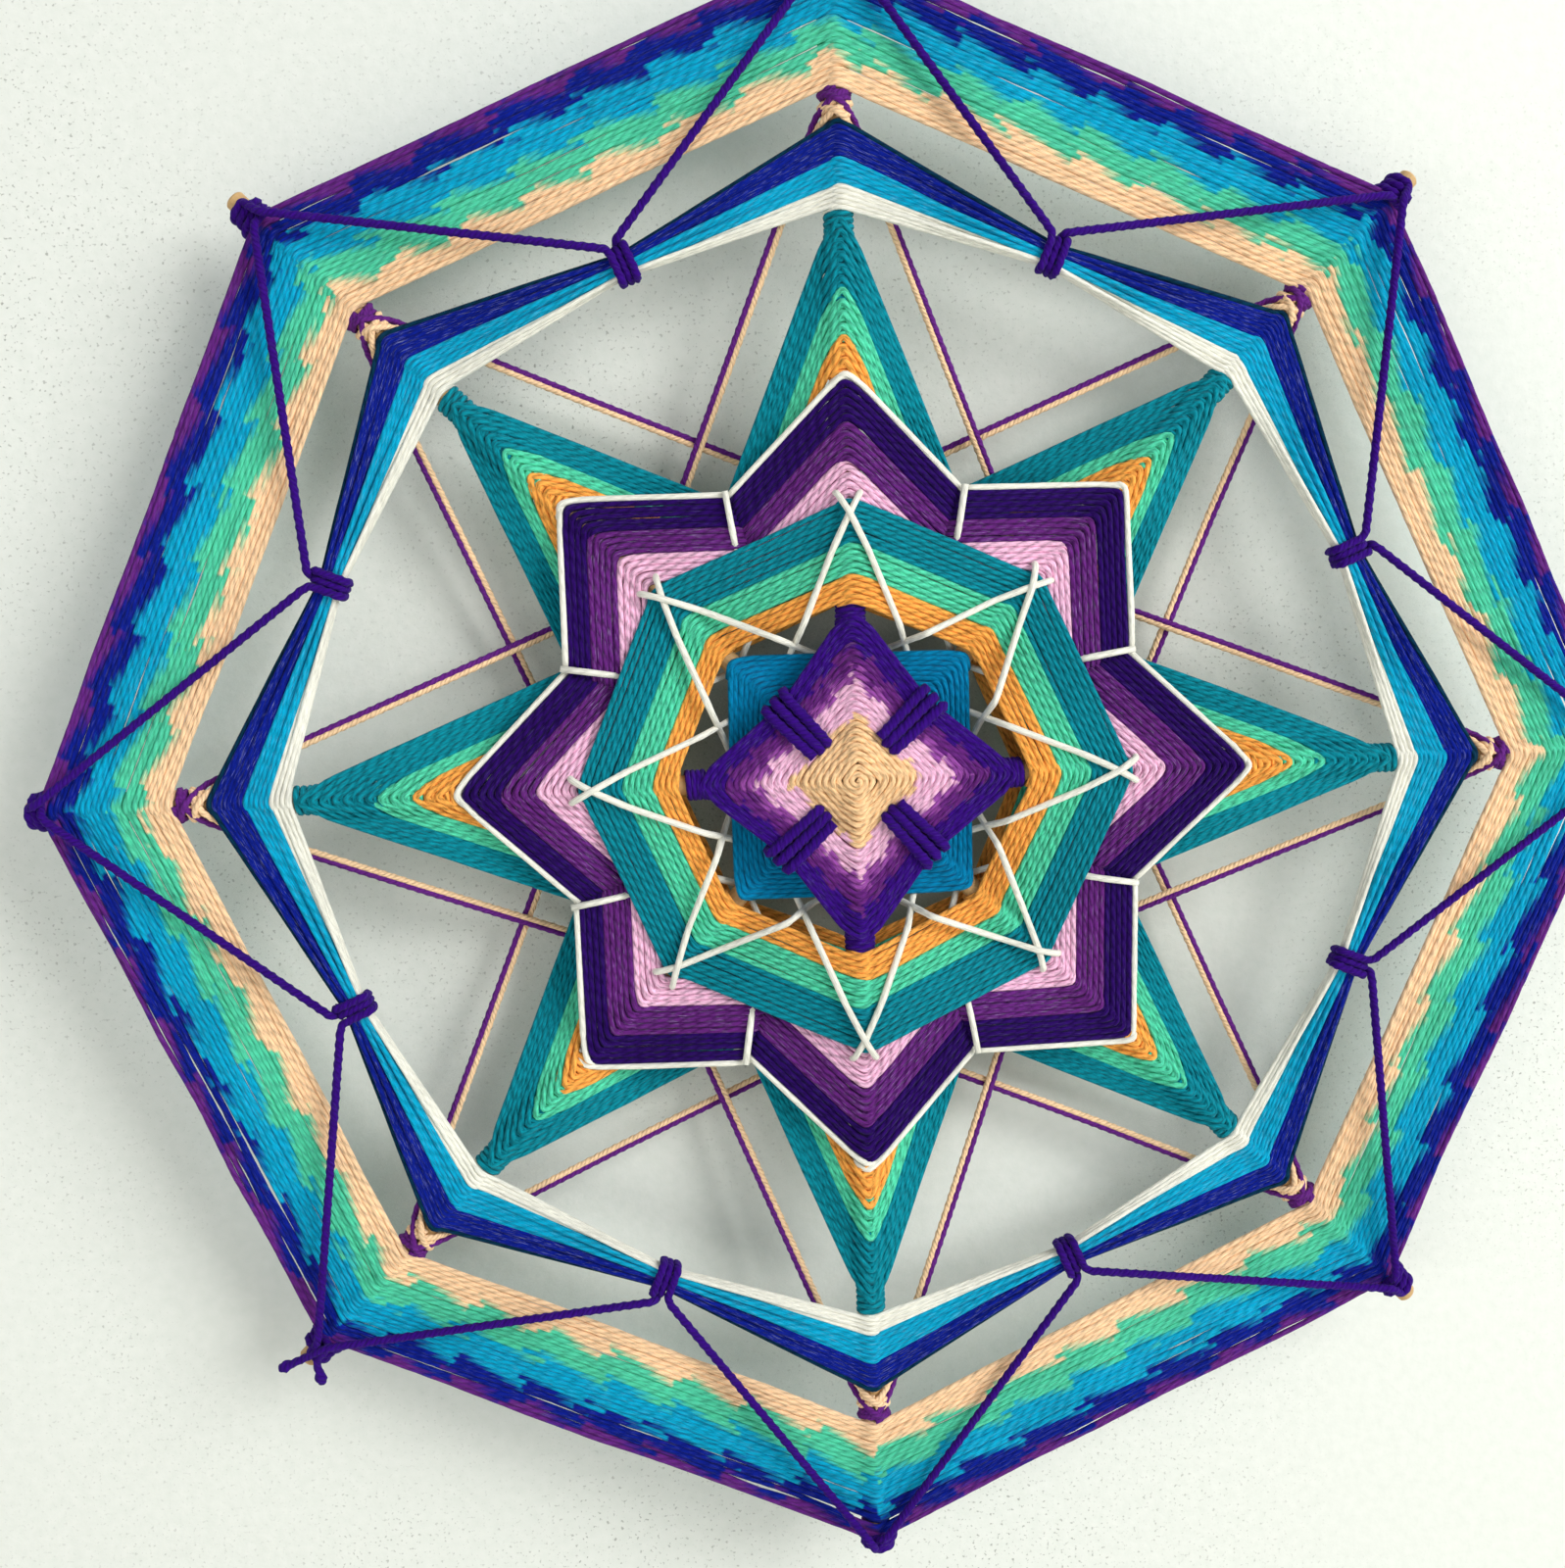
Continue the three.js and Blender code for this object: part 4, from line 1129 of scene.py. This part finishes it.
def make_blue_ring():
    bands = (
        ("ring_white", "yarn_white", WHITE_YARN, RING_START, RING_WHITE_END),
        ("ring_cyan", "yarn_cyan", CYAN_YARN, RING_WHITE_END, RING_CYAN_END),
        ("ring_royal", "yarn_royal", ROYAL_YARN, RING_CYAN_END, RING_ROYAL_END),
        ("ring_dark", "yarn_dark_teal", DARK_TEAL_YARN, RING_ROYAL_END, RING_END),
    )
    for node, slot, material, begin, end in bands:
        radius = WHITE_RING_YARN if begin == RING_START else FINE_YARN
        wound = band_strand(waisted_ring_path(begin, end), RING_STRAY, radius)
        yarn_piece(node, [wound], material)


def make_thin_star():
    threads = (
        ("back_star_peach", "yarn_peach", PEACH_THREAD, THIN_PEACH_RADIUS, THIN_PEACH_COIL),
        ("back_star_purple", "yarn_purple", PURPLE_THREAD, THIN_PURPLE_RADIUS, THIN_PURPLE_COIL),
    )
    for node, slot, material, radius, (low, high) in threads:
        end = radius + THIN_PITCH
        path = star_path(radius, radius, end, THIN_PITCH, THIN_DIVE, THIN_GIRTH, THIN_TURN)
        strands = [cord_strand(path, THREAD)]
        for arm in range(ARMS):
            sleeve = coil(arm, low, high, THIN_COIL_TURNS, THREAD_GIRTH)
            strands.append(cord_strand(sleeve, THREAD))
        yarn_piece(node, strands, material)


def make_outer_band():
    bands = (
        ("outer_peach", "yarn_peach", OUTER_START, OUTER_PEACH_END),
        ("outer_mint", "yarn_mint", OUTER_PEACH_END, OUTER_MINT_END),
        ("outer_cyan", "yarn_cyan", OUTER_MINT_END, OUTER_CYAN_END),
        ("outer_royal", "yarn_royal", OUTER_CYAN_END, OUTER_ROYAL_END),
        ("outer_purple", "yarn_purple", OUTER_ROYAL_END, OUTER_END),
    )
    for node, slot, begin, end in bands:
        path = ring_path(OUTER_START, begin, end, OUTER_PITCH, FINE_GIRTH)
        stray = OUTER_EDGE_STRAY if begin >= OUTER_CYAN_END else OUTER_STRAY
        wound, dye = dyed_strand(path, ARMS, OUTER_TEETH, stray, LOOSE_YARN)
        yarn_piece(node, [wound], OUTER_YARN, [dye])


def make_lacing():
    lacing = cord_strand(lacing_path(), knotted=True)
    yarn_piece("indigo_lacing", [lacing], INDIGO_CORD)


# Stage, light and camera, in metres, watts and degrees
WALL_Y = 0.025
FLOOR_Z = -0.36
STAGE_SIZE = 4.0
CAMERA_PLACE = (-0.0517, -0.5082, 0.048)
CAMERA_TURN = (84.42, 1.94, -3.64)
CAMERA_LENS = 38.9
SENSOR_WIDTH = 36.0
NEAREST_SEEN = 0.01
LIGHTS = (
    ("key_light", (1.76, -1.6, 0.96), 1.44, 57.0),
    ("fill_light", (-0.9, -1.1, -0.5), 1.2, 11.5),
    ("back_light", (0.3, 1.4, 0.8), 1.2, 8.0),
)
ROOM_TINT = (0.9, 0.95, 1.0, 1.0)
ROOM_LIGHT = 0.33
PIT_SHARE = 0.6
# Painted shade on the wall: how far it looks for the object nearby, and the darkest share of the plaster's
# colour it leaves
PAINTED_SHADE_REACH = 0.06
PAINTED_SHADE_DARKEST = 0.22
PLASTER_RELIEF = 0.4 * MM
PLASTER_ROUGHNESS = 0.9
FLOOR_RELIEF = 0.1 * MM
FLOOR_ROUGHNESS = 0.7


def wall_finish():
    """Pale plaster, seen from the front only, with painted shade that darkens it in nooks near the object;
    light from behind passes it.
    """
    shader = Shader("wall_plaster")
    grain = shader.noise(260.0, 4.0)
    tone = shader.mix(grain, PLASTER_DARK, PLASTER_PALE)
    pits = shader.spread(shader.noise(850.0, 1.0), 0.63, 0.73)
    rough = shader.spread(shader.noise(7.0, 3.0), 0.42, 0.66)
    tone = shader.mix(pits * rough * PIT_SHARE, tone, PLASTER_PIT)
    # Painted shade: the plaster's colour is darkened where the object is near and shuts off the open air
    # round it.
    air = shader.node("ShaderNodeAmbientOcclusion", {"samples": 8}, {"Distance": PAINTED_SHADE_REACH}, "AO")
    tone = shader.mix(1.0, tone, shader.spread(air, 0.04, 0.4, PAINTED_SHADE_DARKEST), "MULTIPLY")
    bump = {"Height": grain, "Distance": PLASTER_RELIEF, "Strength": 0.5}
    normal = shader.node("ShaderNodeBump", None, bump)
    inputs = {"Base Color": tone, "Roughness": PLASTER_ROUGHNESS, "Normal": normal}
    plaster = shader.node("ShaderNodeBsdfPrincipled", None, inputs)
    clear = shader.node("ShaderNodeBsdfTransparent")
    from_behind = shader.node("ShaderNodeNewGeometry", output="Backfacing")
    shadow = shader.node("ShaderNodeLightPath", output="Is Shadow Ray")
    passes = from_behind.math("MAXIMUM", from_behind, shadow)
    shown = shader.node("ShaderNodeMixShader", None, {0: passes, 1: plaster, 2: clear})
    shader.node("ShaderNodeOutputMaterial", None, {0: shown})
    return shader.material


def floor_finish():
    shader = Shader("pale_floor")
    grain = shader.noise(40.0, 3.0)
    tone = shader.mix(grain, FLOOR_DARK, FLOOR_PALE)
    return shader.surface(tone, grain * 0.1 + FLOOR_ROUGHNESS, grain, FLOOR_RELIEF)


def make_stage():
    bpy.ops.object.select_all(action="DESELECT")
    bpy.ops.mesh.primitive_plane_add(size=STAGE_SIZE, location=(0.0, 0.0, FLOOR_Z))
    floor = bpy.context.object
    floor.name = "floor"
    floor.data.materials.append(floor_finish())
    turn = (math.pi / 2, 0.0, 0.0)
    middle = (0.0, WALL_Y, FLOOR_Z + STAGE_SIZE / 2)
    bpy.ops.mesh.primitive_plane_add(size=STAGE_SIZE, location=middle, rotation=turn)
    wall = bpy.context.object
    wall.name = "wall"
    wall.data.materials.append(wall_finish())


def add_light(name, place, size, power):
    """A soft square light that looks at the hub."""
    lamp = bpy.data.lights.new(name, "AREA")
    lamp.size = size
    lamp.energy = power
    light = bpy.data.objects.new(name, lamp)
    light.location = place
    light.rotation_euler = (-Vector(place)).to_track_quat("-Z", "Y").to_euler()
    bpy.context.scene.collection.objects.link(light)


def make_light():
    for light in LIGHTS:
        add_light(*light)
    world = bpy.data.worlds.new("pale_room")
    world.use_nodes = True
    background = world.node_tree.nodes["Background"]
    background.inputs["Color"].default_value = ROOM_TINT
    background.inputs["Strength"].default_value = ROOM_LIGHT
    bpy.context.scene.world = world


def make_camera():
    lens = bpy.data.cameras.new("camera")
    lens.sensor_width = SENSOR_WIDTH
    lens.lens = CAMERA_LENS
    lens.clip_start = NEAREST_SEEN
    camera = bpy.data.objects.new("camera", lens)
    camera.location = CAMERA_PLACE
    camera.rotation_euler = [math.radians(angle) for angle in CAMERA_TURN]
    bpy.context.scene.collection.objects.link(camera)
    bpy.context.scene.camera = camera


make_camera()
make_sticks()
make_eyes()
make_octagon()
make_purple_star()
make_teal_star()
make_blue_ring()
make_thin_star()
make_outer_band()
make_lacing()
make_stage()
make_light()
bpy.context.scene.view_settings.view_transform = "Standard"
